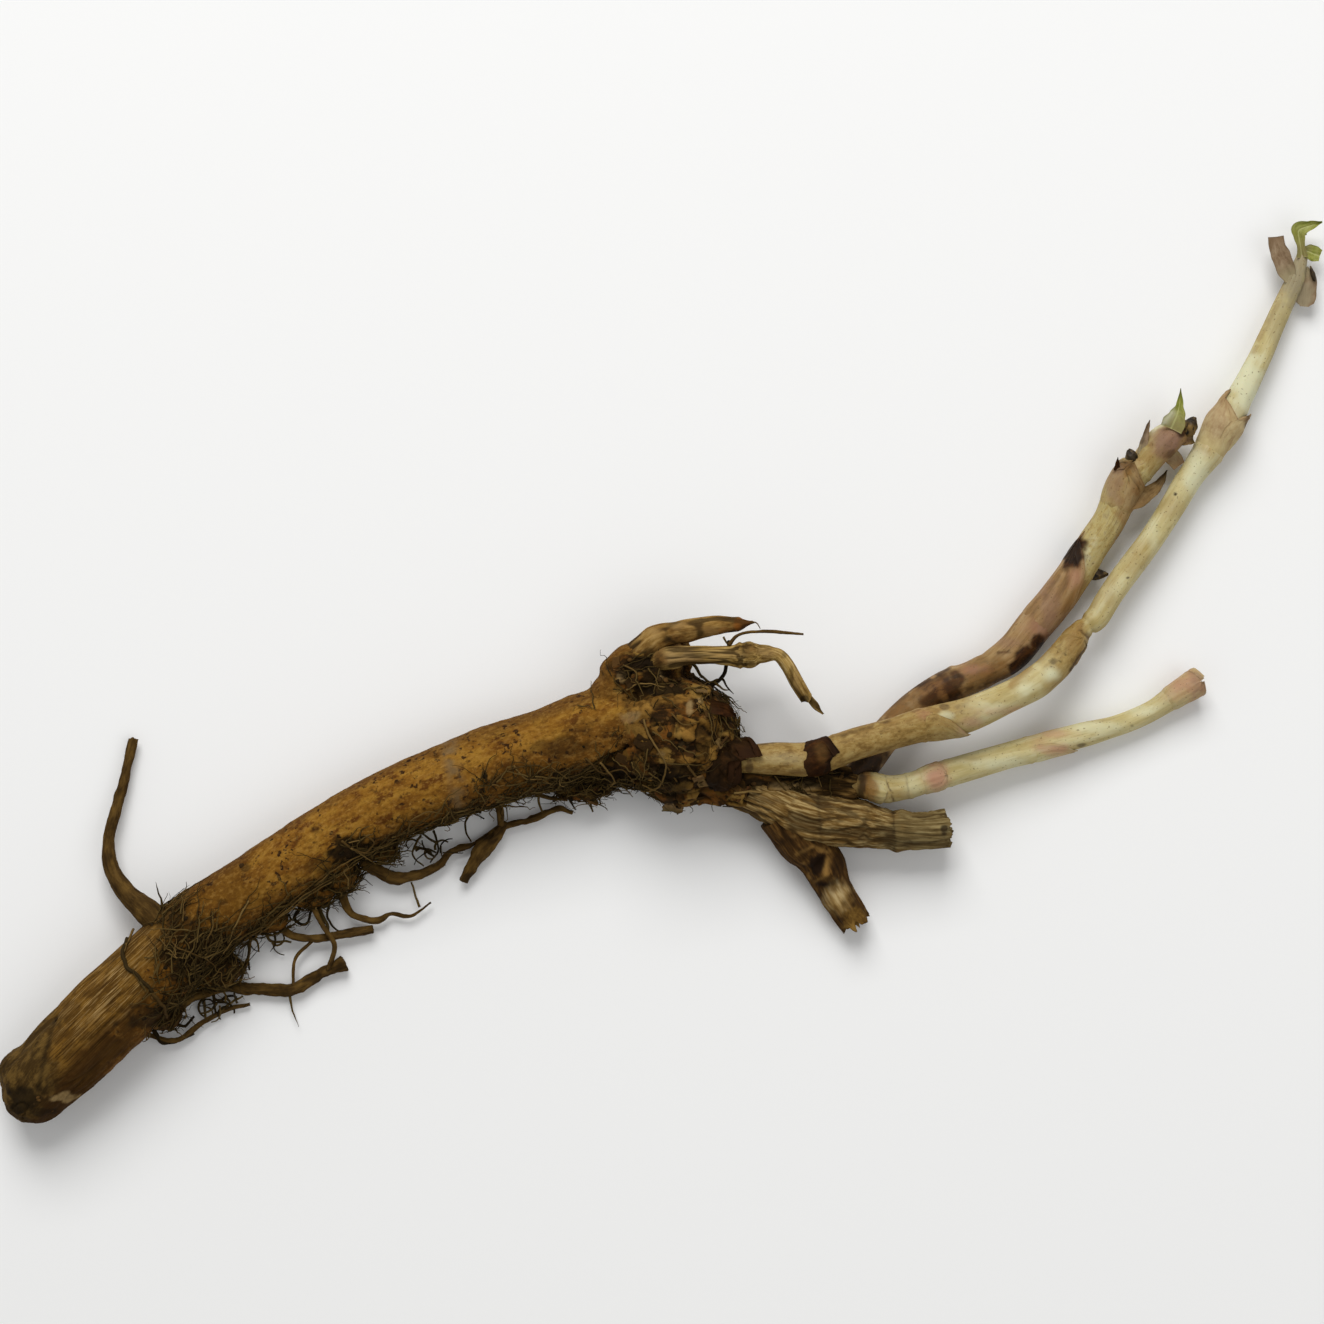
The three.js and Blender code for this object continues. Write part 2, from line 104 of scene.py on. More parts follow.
def add_floor():
    size = 3.0
    mesh = bpy.data.meshes.new("floor")
    corners = [(-size, -size, 0), (size, -size, 0), (size, size, 0), (-size, size, 0)]
    mesh.from_pydata(corners, [], [(0, 1, 2, 3)])
    floor = bpy.data.objects.new("floor", mesh)
    floor.location.z = -0.0001
    bpy.context.scene.collection.objects.link(floor)
    material = bpy.data.materials.new("pale_floor")
    material.use_nodes = True
    shader = material.node_tree.nodes["Principled BSDF"]
    shader.inputs["Base Color"].default_value = (0.9, 0.9, 0.89, 1)
    shader.inputs["Roughness"].default_value = 0.9
    mesh.materials.append(material)


def add_sky():
    world = bpy.data.worlds.new("studio")
    world.use_nodes = True
    background = world.node_tree.nodes["Background"]
    background.inputs["Color"].default_value = (1.0, 1.0, 1.0, 1)
    background.inputs["Strength"].default_value = 0.34
    bpy.context.scene.world = world


add_camera()
add_floor()
add_sky()
add_area_light("window", (-0.2, 1.25, 1.25), 1.1, 26.0)
add_area_light("fill", (0.8, -0.4, 1.3), 1.2, 4.0)
bpy.context.scene.view_settings.view_transform = "Standard"

# %% [markdown]
# ## Centrelines
# Stems and roots are rounds bent along a line, so each one is a short list of points with a radius.
# They repeat the centrelines of the CAD model, in millimetres, so that the fine surface wraps the
# same body that the physics uses.

# %% Centrelines
LOG = [
    (-130.2, -86.2, 7.4, 5.6), (-127.7, -83, 8, 7.7), (-123.9, -77.8, 8.6, 8.7), (-118.5, -72.6, 9, 9.3),
    (-112.3, -66.3, 9.2, 9.4), (-105.3, -59.7, 9.2, 9.3), (-98.3, -52.8, 9.2, 9), (-91, -45.6, 9, 8.6),
    (-80.5, -38, 8.4, 7.7), (-67.3, -28.9, 8.2, 7.6), (-56, -22.3, 8.3, 7.8), (-45, -16.7, 8.6, 8.2),
    (-33.5, -11.7, 8.8, 8.4), (-22.5, -7.6, 8.8, 8.8), (-11, -4.3, 8.8, 9.1), (0, -0.6, 9, 9.5),
    (9, 0.5, 9.6, 10), (16, 0, 11, 9),
]
CROWN_NECK = [
    (24, -9, 10, 7.5), (36, -11.5, 8.4, 6.6), (47, -12, 7.4, 5.6), (54, -12.8, 7, 5), (58.4, -13.4, 6.6, 4.2),
]
CROWN_KNOBS = [
    ((17, -2, 12), (14.5, 13.5, 12.3)), ((9.5, 11.5, 10.6), (9.4, 8, 8.2)), ((14, 16, 11.6), (7, 6, 5.6)),
    ((19.5, 2.8, 12), (6.6, 5.6, 8)), ((25.2, -8, 11), (5.6, 7, 7.4)), ((19, -12.4, 8.5), (9, 5.7, 8.5)),
    ((30, -13.5, 8.5), (9, 5.2, 7.5)), ((7, -7.6, 9), (8, 6.4, 8)), ((19.4, -0.6, 20), (7, 6.6, 5.4)),
]
BARK_KNOBS = [
    ((9.8, 13.4, 15), (3.4, 3, 4)), ((9.8, 15.6, 11.8), (4, 3.4, 4.6)), ((4, 8, 10), (6.5, 4.6, 7.5)),
    ((5, 12, 11), (5.2, 4.6, 7)), ((25, -1, 14), (3.4, 3.6, 6)), ((23.2, -7, 14.6), (3, 4.6, 5.2)),
]
ROOT_BASES = [
    ((-58.5, -33, 5.2), (3.6, 4.4, 4.6)), ((-66, -38, 4.6), (6, 3.2, 4)), ((-75, -43.5, 4.8), (5, 3.2, 4)),
    ((-50, -28, 5), (5, 2.6, 4)), ((-87, -54.5, 5.2), (6, 4.6, 5)), ((-99, -65, 5), (5, 3.4, 4)),
    ((-22.6, -14.5, 5), (3, 3, 4)), ((-3.4, -12.8, 5.2), (6.8, 3.8, 4.8)),
    ((-96.5, -45.6, 12), (4, 3.6, 4.4)), ((-127.2, -84, 8), (6.8, 5.4, 7)),
    ((-129.2, -77.8, 8.4), (6, 5.8, 7.6)),
]
OLD_BINE_STUB = [
    (30.5, -13, 9, 5), (38.5, -16.5, 9, 5.3), (46, -19.8, 9, 6.2), (56.5, -21.5, 8.6, 5.5),
    (65.5, -23, 8, 4.4), (73, -23.4, 7.6, 4.2), (78.3, -23, 7.4, 4.4),
]
LOWER_STUB = [
    (41.4, -19, 7.4, 6.2), (45.6, -25, 6.4, 6), (50.1, -30.6, 5.4, 5), (53, -36.9, 4.5, 4.1),
    (55.3, -40.6, 4.1, 3.8), (57.6, -44, 3.8, 3.6),
]
PEELED_STUB = [
    (3.4, 10, 9.6, 3.4), (5.4, 12.8, 11, 3.5), (8, 15.8, 12.8, 3.4), (10.8, 18.4, 14.2, 3.2),
    (13.6, 20.2, 15.2, 3), (18, 21.3, 15.8, 2.6), (25, 22.5, 16, 2.3), (30.5, 23, 15.8, 1.9),
    (34, 23.4, 15.6, 0.5),
]
DRY_BINE = [
    (12.8, 14.4, 13.4, 1.9), (13.8, 15, 15.8, 2.4), (16, 15.6, 17.4, 2.6), (20.5, 16, 17.6, 2.2),
    (28, 16, 16.6, 2.2), (31, 16, 16.1, 2.6), (33.5, 16.2, 15.8, 3.1), (36.2, 16.4, 15.4, 2.1),
    (39.8, 16.2, 14.7, 1.4), (41.8, 14.1, 14.2, 1.5), (44, 10.2, 13.4, 1.6), (46.3, 6.4, 12.6, 1.5),
]
DRY_BINE_TIP = [(45.6, 8, 12.6, 0.6), (46.6, 7, 12.4, 0.7), (48.3, 5, 12, 0.8), (50.2, 3, 11.6, 0.35)]
FRONT_SHOOT = [
    (28, -7, 14, 3), (33, -7, 14.6, 3.2), (39.5, -7, 14.7, 3.6), (47.5, -7, 14.7, 3.8), (56.5, -4, 14.5, 3.6),
    (65.5, -1.5, 14.2, 3.5), (71, 0.2, 14, 3.6), (76, 1.2, 13.6, 3.9), (82, 2.7, 13.2, 3.8),
    (90, 6, 12.2, 3.5), (97.2, 9.6, 10.9, 3.6), (102.6, 14.1, 9.6, 3.6), (105.9, 18.3, 8.7, 3.1),
    (108.3, 21.7, 8, 2.4), (111.8, 24.6, 7.4, 2.8), (114, 28.1, 7, 2.85), (116.8, 32.2, 6.5, 2.9),
    (124.1, 41.9, 5.8, 2.8), (132.8, 55.7, 5.4, 2.9), (137.5, 62.4, 5.2, 3.6), (140.6, 67.8, 5.2, 4.2),
    (142.8, 71.6, 5.1, 3.4), (144.6, 74.8, 4.9, 2.9), (149, 83.2, 4.4, 2.6), (153.7, 93.6, 3.8, 2.3),
    (157, 100.8, 3.5, 2.2), (158.9, 106.8, 3.5, 1.4),
]
SCALY_SHOOT = [
    (54, -13, 6.6, 3), (59.5, -8.6, 5.6, 3.4), (64, -2.4, 5, 3.6), (71, 4, 4.8, 3.9), (77.9, 8.6, 4.8, 3.9),
    (84.2, 11.2, 4.8, 3.7), (89.2, 13.7, 4.8, 3.9), (93.4, 16.9, 4.9, 4.1), (98.2, 22.9, 5, 4.1),
    (103.2, 28.8, 5, 4), (107.5, 34.8, 5.2, 3.8), (111.2, 40.8, 5.5, 3.7), (114.9, 46.5, 6, 3.6),
    (118.2, 54.2, 6.5, 3.9), (120.4, 57.4, 6.7, 3.8), (122.4, 58.9, 6.8, 3.3), (124.2, 61.1, 6.9, 3.4),
    (126.8, 64, 7, 3.7), (129.4, 66.2, 7, 3.3), (131.1, 67.7, 7, 2.5), (132.2, 68.7, 7, 1.1),
]
SHORT_SHOOT = [
    (53, -13.6, 4.6, 1.8), (57, -13.4, 7, 2.6), (60.6, -13.3, 9.1, 3.1), (64, -14, 9, 3.1),
    (69, -13.4, 8.6, 2.9), (72.5, -12.3, 8.2, 2.9), (75.5, -11.3, 7.8, 3.1), (81, -9.7, 7.2, 3.1),
    (92, -6.5, 6, 3), (97, -5.2, 5.5, 3.1), (101, -4, 5, 3), (108, -2.1, 4.4, 2.8), (117.2, 0.3, 3.8, 2.35),
    (124.5, 3.4, 3.6, 2.35), (129.9, 6.9, 3.7, 2.7), (134.6, 9.8, 3.8, 2.9),
]
SIDE_ROOT = [
    (-97, -46, 10.5, 3), (-100.8, -42.3, 9.4, 3), (-106.9, -37, 7.4, 2.2), (-110.3, -31.6, 5.6, 1.7),
    (-111, -25.3, 4, 1.3), (-108.9, -16.5, 2.8, 1.2), (-107, -8.5, 2.2, 1.1), (-105.8, -3, 2, 1.05),
]
ROOTS = {
    "root_long": [
        (-99, -66, 3.4, 1.2), (-92.5, -61.5, 2.6, 1.2), (-85.5, -59, 2, 1.25), (-79, -59.5, 1.8, 1.25),
        (-70, -59.5, 1.8, 1.2), (-62, -55.5, 2, 1.2), (-58, -53.5, 2.2, 1.7),
    ],
    "root_forked": [
        (-75, -42.5, 4.6, 0.9), (-70, -47, 3.6, 0.9), (-64, -48, 3, 0.9), (-58, -47, 2.6, 0.95),
        (-51.5, -46, 2.4, 1),
    ],
    "root_hooked": [
        (-58.5, -35, 4.4, 0.9), (-58, -39, 3.6, 0.9), (-56, -42.5, 3, 0.9), (-50.5, -44, 2.4, 0.85),
        (-47.5, -42.5, 2.2, 0.45), (-43, -43, 2, 0.4), (-38.5, -40, 2, 0.3),
    ],
    "root_crossing": [
        (-67, -36.5, 5.6, 0.55), (-62.5, -45, 5.2, 0.55), (-60, -49.5, 4.4, 0.55), (-61.6, -55, 3.4, 0.5),
    ],
    "root_under_end": [
        (-103, -69.5, 3.4, 0.6), (-96, -71, 2.4, 0.55), (-90, -67, 1.8, 0.55), (-84, -64, 1.5, 0.55),
        (-79.5, -63, 1.4, 0.45),
    ],
    "root_runner": [
        (-54, -30.5, 4.6, 1.3), (-46.5, -34, 3.4, 1.4), (-41.5, -33.5, 2.8, 1.2), (-36, -31, 2.4, 0.9),
        (-34, -28.5, 2.2, 0.75), (-28.5, -26.5, 2, 0.7), (-22.5, -23, 2, 0.7), (-15.5, -21, 2, 0.7),
        (-9, -18.5, 2, 0.8), (-6.5, -19.5, 2, 0.6),
    ],
    "root_drop": [(-23.4, -13, 4.4, 0.95), (-22.8, -18, 3.6, 0.9), (-22.4, -22.4, 2.6, 0.8)],
    "root_spur": [
        (-21, -21.8, 2.6, 0.7), (-23.4, -24.6, 2.8, 1.4), (-26.4, -27.6, 2.6, 1.8), (-28.8, -31.4, 2.4, 1.5),
        (-31, -34.8, 2.2, 1.2),
    ],
    "root_thread_left": [(-79, -46, 3.6, 0.4), (-79.6, -52, 3, 0.35), (-81.5, -58, 2.6, 0.35)],
    "root_thread_middle": [(-65.2, -48.6, 2.8, 0.4), (-69, -52.5, 2.4, 0.35), (-69.5, -58.6, 2.2, 0.35)],
    "root_thread_right": [
        (-18.5, -10, 5, 0.45), (-15.5, -14.5, 4.2, 0.4), (-12, -16, 3.4, 0.4), (-7.5, -16.6, 3, 0.35),
    ],
    "root_over_crown": [
        (9.9, 2.2, 20.4, 0.3), (11.2, -1.8, 22.6, 0.3), (13.1, -5.2, 22.8, 0.32), (15.4, -9, 21.4, 0.3),
        (17.8, -12.8, 18, 0.25),
    ],
    "root_twig": [
        (28.8, 18.4, 17.4, 0.5), (31, 20.6, 17.6, 0.45), (36, 21.4, 17.2, 0.4), (45.4, 20.8, 16.8, 0.25),
    ],
}
print("the log bends through", len(LOG), "places, and there are", len(ROOTS), "roots")

# %% [markdown]
# ## Noise and stems in numpy
# Bark is a shape, not only a colour, so its ridges are pushed out of the mesh. A small value noise
# is enough for that. It is a function of place and a seed, so the rhizome grows the same each time.
# `Stem` turns a centreline into places: how far along, how far out, and at which angle round it.

# %% Noise and stems
def lattice(ix, iy, iz, seed):
    """A repeatable number from -1 to 1 for each lattice point."""
    n = (ix * 374761393 + iy * 668265263 + iz * 1440662683 + seed * 974634777) & 0xFFFFFFFF
    n = ((n ^ (n >> 13)) * 1274126177) & 0xFFFFFFFF
    return ((n ^ (n >> 16)) & 0xFFFF) / 32767.5 - 1.0


def noise(points, seed=0):
    """Smooth noise from -1 to 1 with cells of size 1."""
    cell = np.floor(points).astype(np.int64)
    f = points - cell
    u = f * f * (3 - 2 * f)
    total = np.zeros(points.shape[:-1])
    for corner in range(8):
        dx, dy, dz = corner & 1, corner >> 1 & 1, corner >> 2 & 1
        weight = (
            (u[..., 0] if dx else 1 - u[..., 0])
            * (u[..., 1] if dy else 1 - u[..., 1])
            * (u[..., 2] if dz else 1 - u[..., 2])
        )
        total += weight * lattice(cell[..., 0] + dx, cell[..., 1] + dy, cell[..., 2] + dz, seed)
    return total


def fractal(points, size, seed=0, octaves=3, gain=0.5):
    """Noise on several scales; size is one number, or one for each axis, in millimetres."""
    q = points / np.asarray(size, float)
    return sum(gain ** k * noise(q * 2 ** k + 17.3 * k, seed + k) for k in range(octaves))


def smooth(low, high, value):
    t = np.clip((value - low) / (high - low), 0, 1)
    return t * t * (3 - 2 * t)


class Stem:
    """A round body bent along a centreline, as the CAD model's stems are."""

    FINE = 24  # steps from one place of the centreline to the next

    def __init__(self, path):
        path = np.array(path, float)
        ends = np.vstack([2 * path[0] - path[1], path, 2 * path[-1] - path[-2]])[:, :3]
        t = np.linspace(0, 1, self.FINE, endpoint=False)[:, None]
        points, radii = [], []
        for i in range(len(path) - 1):
            p0, p1, p2, p3 = ends[i:i + 4]
            d0, d1, d2 = (max(np.linalg.norm(b - a), 1e-4) ** 0.5 for a, b in ((p0, p1), (p1, p2), (p2, p3)))
            m1 = ((p1 - p0) / d0 - (p2 - p0) / (d0 + d1) + (p2 - p1) / d1) * d1
            m2 = ((p2 - p1) / d1 - (p3 - p1) / (d1 + d2) + (p3 - p2) / d2) * d1
            points.append(
                p1 + m1 * t + (3 * (p2 - p1) - 2 * m1 - m2) * t ** 2 + (2 * (p1 - p2) + m1 + m2) * t ** 3
            )
            radii.append(path[i, 3] + (path[i + 1, 3] - path[i, 3]) * smooth(0, 1, t[:, 0]))
        self.points = np.vstack([*points, path[-1:, :3]])
        self.radii = np.append(np.concatenate(radii), path[-1, 3])
        steps = np.linalg.norm(np.diff(self.points, axis=0), axis=1)
        self.run = np.concatenate([[0], np.cumsum(steps)])
        self.length = self.run[-1]

    def radius(self, s):
        return np.interp(s, self.run, self.radii)

    def centre(self, s):
        return np.stack([np.interp(s, self.run, self.points[:, k]) for k in range(3)], -1)

    def frame(self, s):
        """Centre, direction, right-hand side and upper side at distances along the stem."""
        inside = np.clip(s, 0, self.length)
        reach = 0.8
        ahead, behind = np.minimum(inside + reach, self.length), np.maximum(inside - reach, 0)
        along = self.centre(ahead) - self.centre(behind)
        along /= np.linalg.norm(along, axis=-1, keepdims=True)
        side = np.stack([along[..., 1], -along[..., 0], np.zeros_like(along[..., 0])], -1)
        side /= np.maximum(np.linalg.norm(side, axis=-1, keepdims=True), 1e-6)
        up = np.cross(side, along)
        centre = self.centre(inside) + along * (s - inside)[..., None]
        return centre, along, side, up

    def place(self, s, out, angle):
        """Points at distances along and out, and an angle: 0 right-hand side, 90 degrees on top."""
        centre, _, side, up = self.frame(s)
        return centre + side * (out * np.cos(angle))[..., None] + up * (out * np.sin(angle))[..., None]

    def nearest(self, x, y):
        """How far along it passes closest to a place in the plan."""
        return self.run[np.argmin(np.hypot(self.points[:, 0] - x, self.points[:, 1] - y))]


print("front shoot is", round(Stem(FRONT_SHOOT).length), "mm long along its bend")


# %% [markdown]
# ## From numbers to a piece
# Every mesh leaves this lesson the same way: points in millimetres become a mesh in metres with its
# own attributes, it gets one material, it rides on the one body, and it stands for its CAD node.
# The attribute `straight` holds each point's place in the stem before it was bent: millimetres
# along, and the two across. A pattern read from it runs with the grain round every bend.

# %% Mesh helpers
def facing_out(points, faces):
    """The faces of a closed skin, turned round if they face in."""
    first = np.array([face[:3] for face in faces])
    a, b, c = (points[first[:, k]] for k in range(3))
    middle = points.mean(0)
    volume = np.einsum("ij,ij->i", a - middle, np.cross(b - a, c - a)).sum()
    return faces if volume > 0 else [tuple(reversed(face)) for face in faces]


def new_mesh(name, points, faces, attributes=None):
    mesh = bpy.data.meshes.new(name)
    faces = facing_out(points, faces)
    mesh.from_pydata((np.asarray(points) * MM).tolist(), [], faces)
    for key, values in (attributes or {}).items():
        values = np.asarray(values, np.float32)
        vector = values.ndim == 2
        layer = mesh.attributes.new(key, "FLOAT_VECTOR" if vector else "FLOAT", "POINT")
        layer.data.foreach_set("vector" if vector else "value", values.ravel())
    mesh.shade_smooth()
    return mesh


def settle(mesh, material, slot, nodes=()):
    """Makes a mesh a piece of the object: material, body and the hidden CAD nodes that it stands for; the
    slot is only printed.
    """
    piece = bpy.data.objects.new(mesh.name, mesh)
    bpy.context.scene.collection.objects.link(piece)
    mesh.materials.clear()
    mesh.materials.append(material)
    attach(piece, "root")
    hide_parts(*nodes)
    print(f"{mesh.name}: {len(mesh.polygons)} faces, {slot}")
    return piece


def grid_faces(rows, columns, closed):
    """Quads of a grid of points; closed joins its last column to its first."""
    r = np.arange(rows - 1)[:, None]
    c = np.arange(columns if closed else columns - 1)[None, :]
    a = r * columns + c
    b = r * columns + (c + 1) % columns
    return np.stack([a, b, b + columns, a + columns], -1).reshape(-1, 4).tolist()


def turned(stem, step, sides, relief=None, cap=4, ragged=0.0, seed=0):
    """A stem's skin as rings of points. relief(straight) pushes it out, and ragged breaks its far end.
    Returns its points, faces, straight coordinates and how far each point was pushed."""
    rings = max(4, int(stem.length / step))
    s = np.linspace(0, stem.length, rings + 1)
    share = np.ones_like(s)
    inner = np.linspace(0, 1, cap, endpoint=False)[1:]
    s = np.concatenate([np.zeros_like(inner), s, np.full_like(inner, stem.length)])
    share = np.concatenate([inner, share, inner[::-1]])
    angle = np.linspace(0, 2 * np.pi, sides, endpoint=False)
    S, A = np.meshgrid(s, angle, indexing="ij")
    K = np.broadcast_to(share[:, None], S.shape)
    R = stem.radius(S)
    straight = np.stack([S, R * np.cos(A) * K, R * np.sin(A) * K], -1)
    pushed = np.zeros_like(R) if relief is None else relief(straight) * smooth(0.3, 1, K)
    R = R + pushed
    if ragged:
        torn = fractal(np.stack([R * K * np.cos(A), R * K * np.sin(A), np.zeros_like(A)], -1), 1.1, seed, 2)
        S = S + ragged * torn * smooth(stem.length - 4 * ragged - 1, stem.length, S)
    points = stem.place(S, R * K, A)
    count = sides * len(s)
    faces = grid_faces(len(s), sides, True)
    first, last = count, count + 1
    faces += [(first, (c + 1) % sides, c) for c in range(sides)]
    base = sides * (len(s) - 1)
    faces += [(last, base + c, base + (c + 1) % sides) for c in range(sides)]
    ends = np.array([points[0].mean(0), points[-1].mean(0)])
    points = np.vstack([points.reshape(-1, 3), ends])
    straight = np.vstack([straight.reshape(-1, 3), [[0, 0, 0], [stem.length, 0, 0]]])
    return points, faces, straight, np.append(pushed.ravel(), [0, 0])


FLOOR_GAP = 0.03  # nothing comes closer to the table


def above_floor(points):
    points[:, 2] = np.maximum(points[:, 2], FLOOR_GAP)
    return points


# %% [markdown]
# ## Materials
# Plant skin is never one colour. Each finish starts with a long soft streak along the grain, adds
# fine lines, blotches and specks on scales of their own, and ends in a bump of the same pattern, so
# that colour and shape agree. `Paint` only keeps the node code short.

# %% Node helpers
def srgb(r, g, b):
    """A colour from its everyday 0 to 255 values."""
    return (*[(v / 255 / 12.92) if v < 10.3 else ((v / 255 + 0.055) / 1.055) ** 2.4 for v in (r, g, b)], 1.0)


class Nodes:
    """A node tree being built. Inputs are sockets or plain values."""

    def add(self, kind, inputs=(), **settings):
        node = self.tree.nodes.new(kind)
        for key, value in settings.items():
            setattr(node, key, value)
        for key, value in dict(inputs).items():
            if isinstance(value, bpy.types.NodeSocket):
                self.tree.links.new(value, node.inputs[key])
            else:
                node.inputs[key].default_value = value
        return node

    def out(self, kind, inputs=(), **settings):
        """The first output of a new node."""
        return self.add(kind, inputs, **settings).outputs[0]

    def math(self, operation, a, b=0.0):
        return self.out("ShaderNodeMath", {0: a, 1: b}, operation=operation)

    def times(self, a, b):
        return self.math("MULTIPLY", a, b)

    def plus(self, a, b):
        return self.math("ADD", a, b)


class Paint(Nodes):
    """A material being built."""

    def __init__(self, name, roughness=0.8, specular=0.35):
        self.material = bpy.data.materials.new(name)
        self.material.use_nodes = True
        self.tree = self.material.node_tree
        self.shader = self.tree.nodes["Principled BSDF"]
        self.shader.inputs["Specular IOR Level"].default_value = specular
        self.shader.inputs["Roughness"].default_value = roughness
        self.straight = self.attribute("straight")

    def attribute(self, name, output="Vector"):
        return self.add("ShaderNodeAttribute", attribute_name=name).outputs[output]

    def mask(self, name):
        return self.attribute(name, "Fac")

    def shrunk(self, size, vector):
        """A place divided by a size in millimetres: one number, or (along, across)."""
        along, across = size if isinstance(size, tuple) else (size, size)
        scale = (1 / along, 1 / across, 1 / across)
        return self.out("ShaderNodeMapping", {"Vector": vector, "Scale": scale})

    def noise(self, size, detail=3.0, roughness=0.55, vector=None):
        """Noise from 0 to 1 with cells of the given size."""
        scaled = self.shrunk(size, vector or self.straight)
        return self.out("ShaderNodeTexNoise", {
            "Vector": scaled, "Scale": 1.0, "Detail": detail, "Roughness": roughness,
        })

    def veins(self, size):
        """The distance to the edges of cells of the given size."""
        scaled = self.shrunk(size, self.straight)
        return self.out("ShaderNodeTexVoronoi", {"Vector": scaled, "Scale": 1.0}, feature="DISTANCE_TO_EDGE")

    def between(self, value, low, high):
        """0 below low and 1 above high, smooth between."""
        node = self.add("ShaderNodeMapRange", {"Value": value, "From Min": low, "From Max": high})
        node.interpolation_type = "SMOOTHSTEP"
        return node.outputs[0]

    def mix(self, factor, a, b):
        """Colour a at 0 and colour b at 1; each is a socket or everyday values (r, g, b)."""
        a, b = (srgb(*colour) if isinstance(colour, tuple) else colour for colour in (a, b))
        return self.add("ShaderNodeMix", {0: factor, 6: a, 7: b}, data_type="RGBA").outputs[2]

    def over(self, share, where, under, top):
        """A colour laid over another by a share, where a mask (its name) or a socket is high."""
        where = self.mask(where) if isinstance(where, str) else where
        return self.mix(where if share == 1 else self.times(where, share), under, top)

    def ramp(self, factor, stops):
        """A colour for each number: stops are (place, (r, g, b))."""
        stops = list(stops)
        node = self.add("ShaderNodeValToRGB", {"Fac": factor})
        elements = node.color_ramp.elements
        while len(elements) < len(stops):
            elements.new(0.5)
        for element, (place, colour) in zip(elements, stops):
            element.position, element.color = place, srgb(*colour)
        return node.outputs[0]

    def finish(self, colour, height=None, strength=0.5, depth=0.25):
        """Sets the colour, and a bump whose height is 0 to 1 and depth in millimetres."""
        self.tree.links.new(colour, self.shader.inputs["Base Color"])
        if height is not None:
            settings = {"Height": height, "Strength": strength, "Distance": depth * MM}
            self.tree.links.new(self.out("ShaderNodeBump", settings), self.shader.inputs["Normal"])
        print(f"{self.material.name}: {len(self.tree.nodes)} nodes")
        return self.material

    def soften(self, weight, colour_reach=(1.0, 0.6, 0.3), distance=1.5):
        """Lets light travel a little way below the skin, as it does in a fleshy stem."""
        self.shader.inputs["Subsurface Weight"].default_value = weight
        self.shader.inputs["Subsurface Radius"].default_value = colour_reach
        self.shader.inputs["Subsurface Scale"].default_value = distance * MM


# %% [markdown]
# ## The rootstock
# The log, the crown and the neck below the shoots grew as one woody body. The rough shapes are
# joined by a voxel remesh, which welds them as growth does, and then smoothed so that no seam is
# left. Everything else is relief: long wrinkles on the log, deep fibres on its older end, and broken
# knobs on the crown. Voxels just under half a millimetre keep the smallest bark scale that shows.

# %% Rough body of the rootstock
VOXEL = 0.46
ROUNDS = 14       # of smoothing, enough to melt the seams between the joined bodies
log_stem = Stem(LOG)
neck_stem = Stem(CROWN_NECK)
spine = Stem([*LOG[:-1], (20, -3, 11, 9), *CROWN_NECK[1:]])


def ball(centre, radii, rows=24, columns=32):
    lat = np.linspace(-np.pi / 2, np.pi / 2, rows)[1:-1]
    lon = np.linspace(0, 2 * np.pi, columns, endpoint=False)
    A, B = np.meshgrid(lat, lon, indexing="ij")
    unit = np.stack([np.cos(A) * np.cos(B), np.cos(A) * np.sin(B), np.sin(A)], -1).reshape(-1, 3)
    unit = np.vstack([unit, [[0, 0, -1], [0, 0, 1]]])
    faces = grid_faces(rows - 2, columns, True)
    low, high, last = len(unit) - 2, len(unit) - 1, (rows - 3) * columns
    faces += [(low, (c + 1) % columns, c) for c in range(columns)]
    faces += [(high, last + c, last + (c + 1) % columns) for c in range(columns)]
    return unit * np.array(radii) + np.array(centre), faces


def joined(parts):
    points, faces, start = [], [], 0
    for part_points, part_faces in parts:
        points.append(part_points)
        faces += [tuple(start + i for i in face) for face in part_faces]
        start += len(part_points)
    return np.vstack(points), faces


def remeshed(points, faces, voxel):
    """The union of closed bodies as one even skin, still in millimetres."""
    mesh = bpy.data.meshes.new("rough")
    mesh.from_pydata(points.tolist(), [], faces)
    rough = bpy.data.objects.new("rough", mesh)
    bpy.context.scene.collection.objects.link(rough)
    modifier = rough.modifiers.new("voxels", "REMESH")
    modifier.mode = "VOXEL"
    modifier.voxel_size = voxel
    graph = bpy.context.evaluated_depsgraph_get()
    result = bpy.data.meshes.new_from_object(rough.evaluated_get(graph))
    co = np.empty(len(result.vertices) * 3)
    result.vertices.foreach_get("co", co)
    quads = [tuple(p.vertices) for p in result.polygons]
    bpy.data.objects.remove(rough)
    for spare in (mesh, result):
        bpy.data.meshes.remove(spare)
    return co.reshape(-1, 3), quads


def relaxed(points, faces, rounds):
    """Moves every point towards the middle of its neighbours, a few times."""
    quads = np.array(faces)
    edges = np.vstack([quads[:, [0, 1]], quads[:, [1, 2]], quads[:, [2, 3]], quads[:, [3, 0]]])
    counts = np.bincount(edges[:, 0], minlength=len(points)) + np.bincount(edges[:, 1], minlength=len(points))
    for _ in range(rounds):
        total = np.zeros_like(points)
        for k in range(3):
            total[:, k] = np.bincount(edges[:, 0], points[edges[:, 1], k], len(points))
            total[:, k] += np.bincount(edges[:, 1], points[edges[:, 0], k], len(points))
        points = 0.4 * points + 0.6 * total / counts[:, None]
    return points


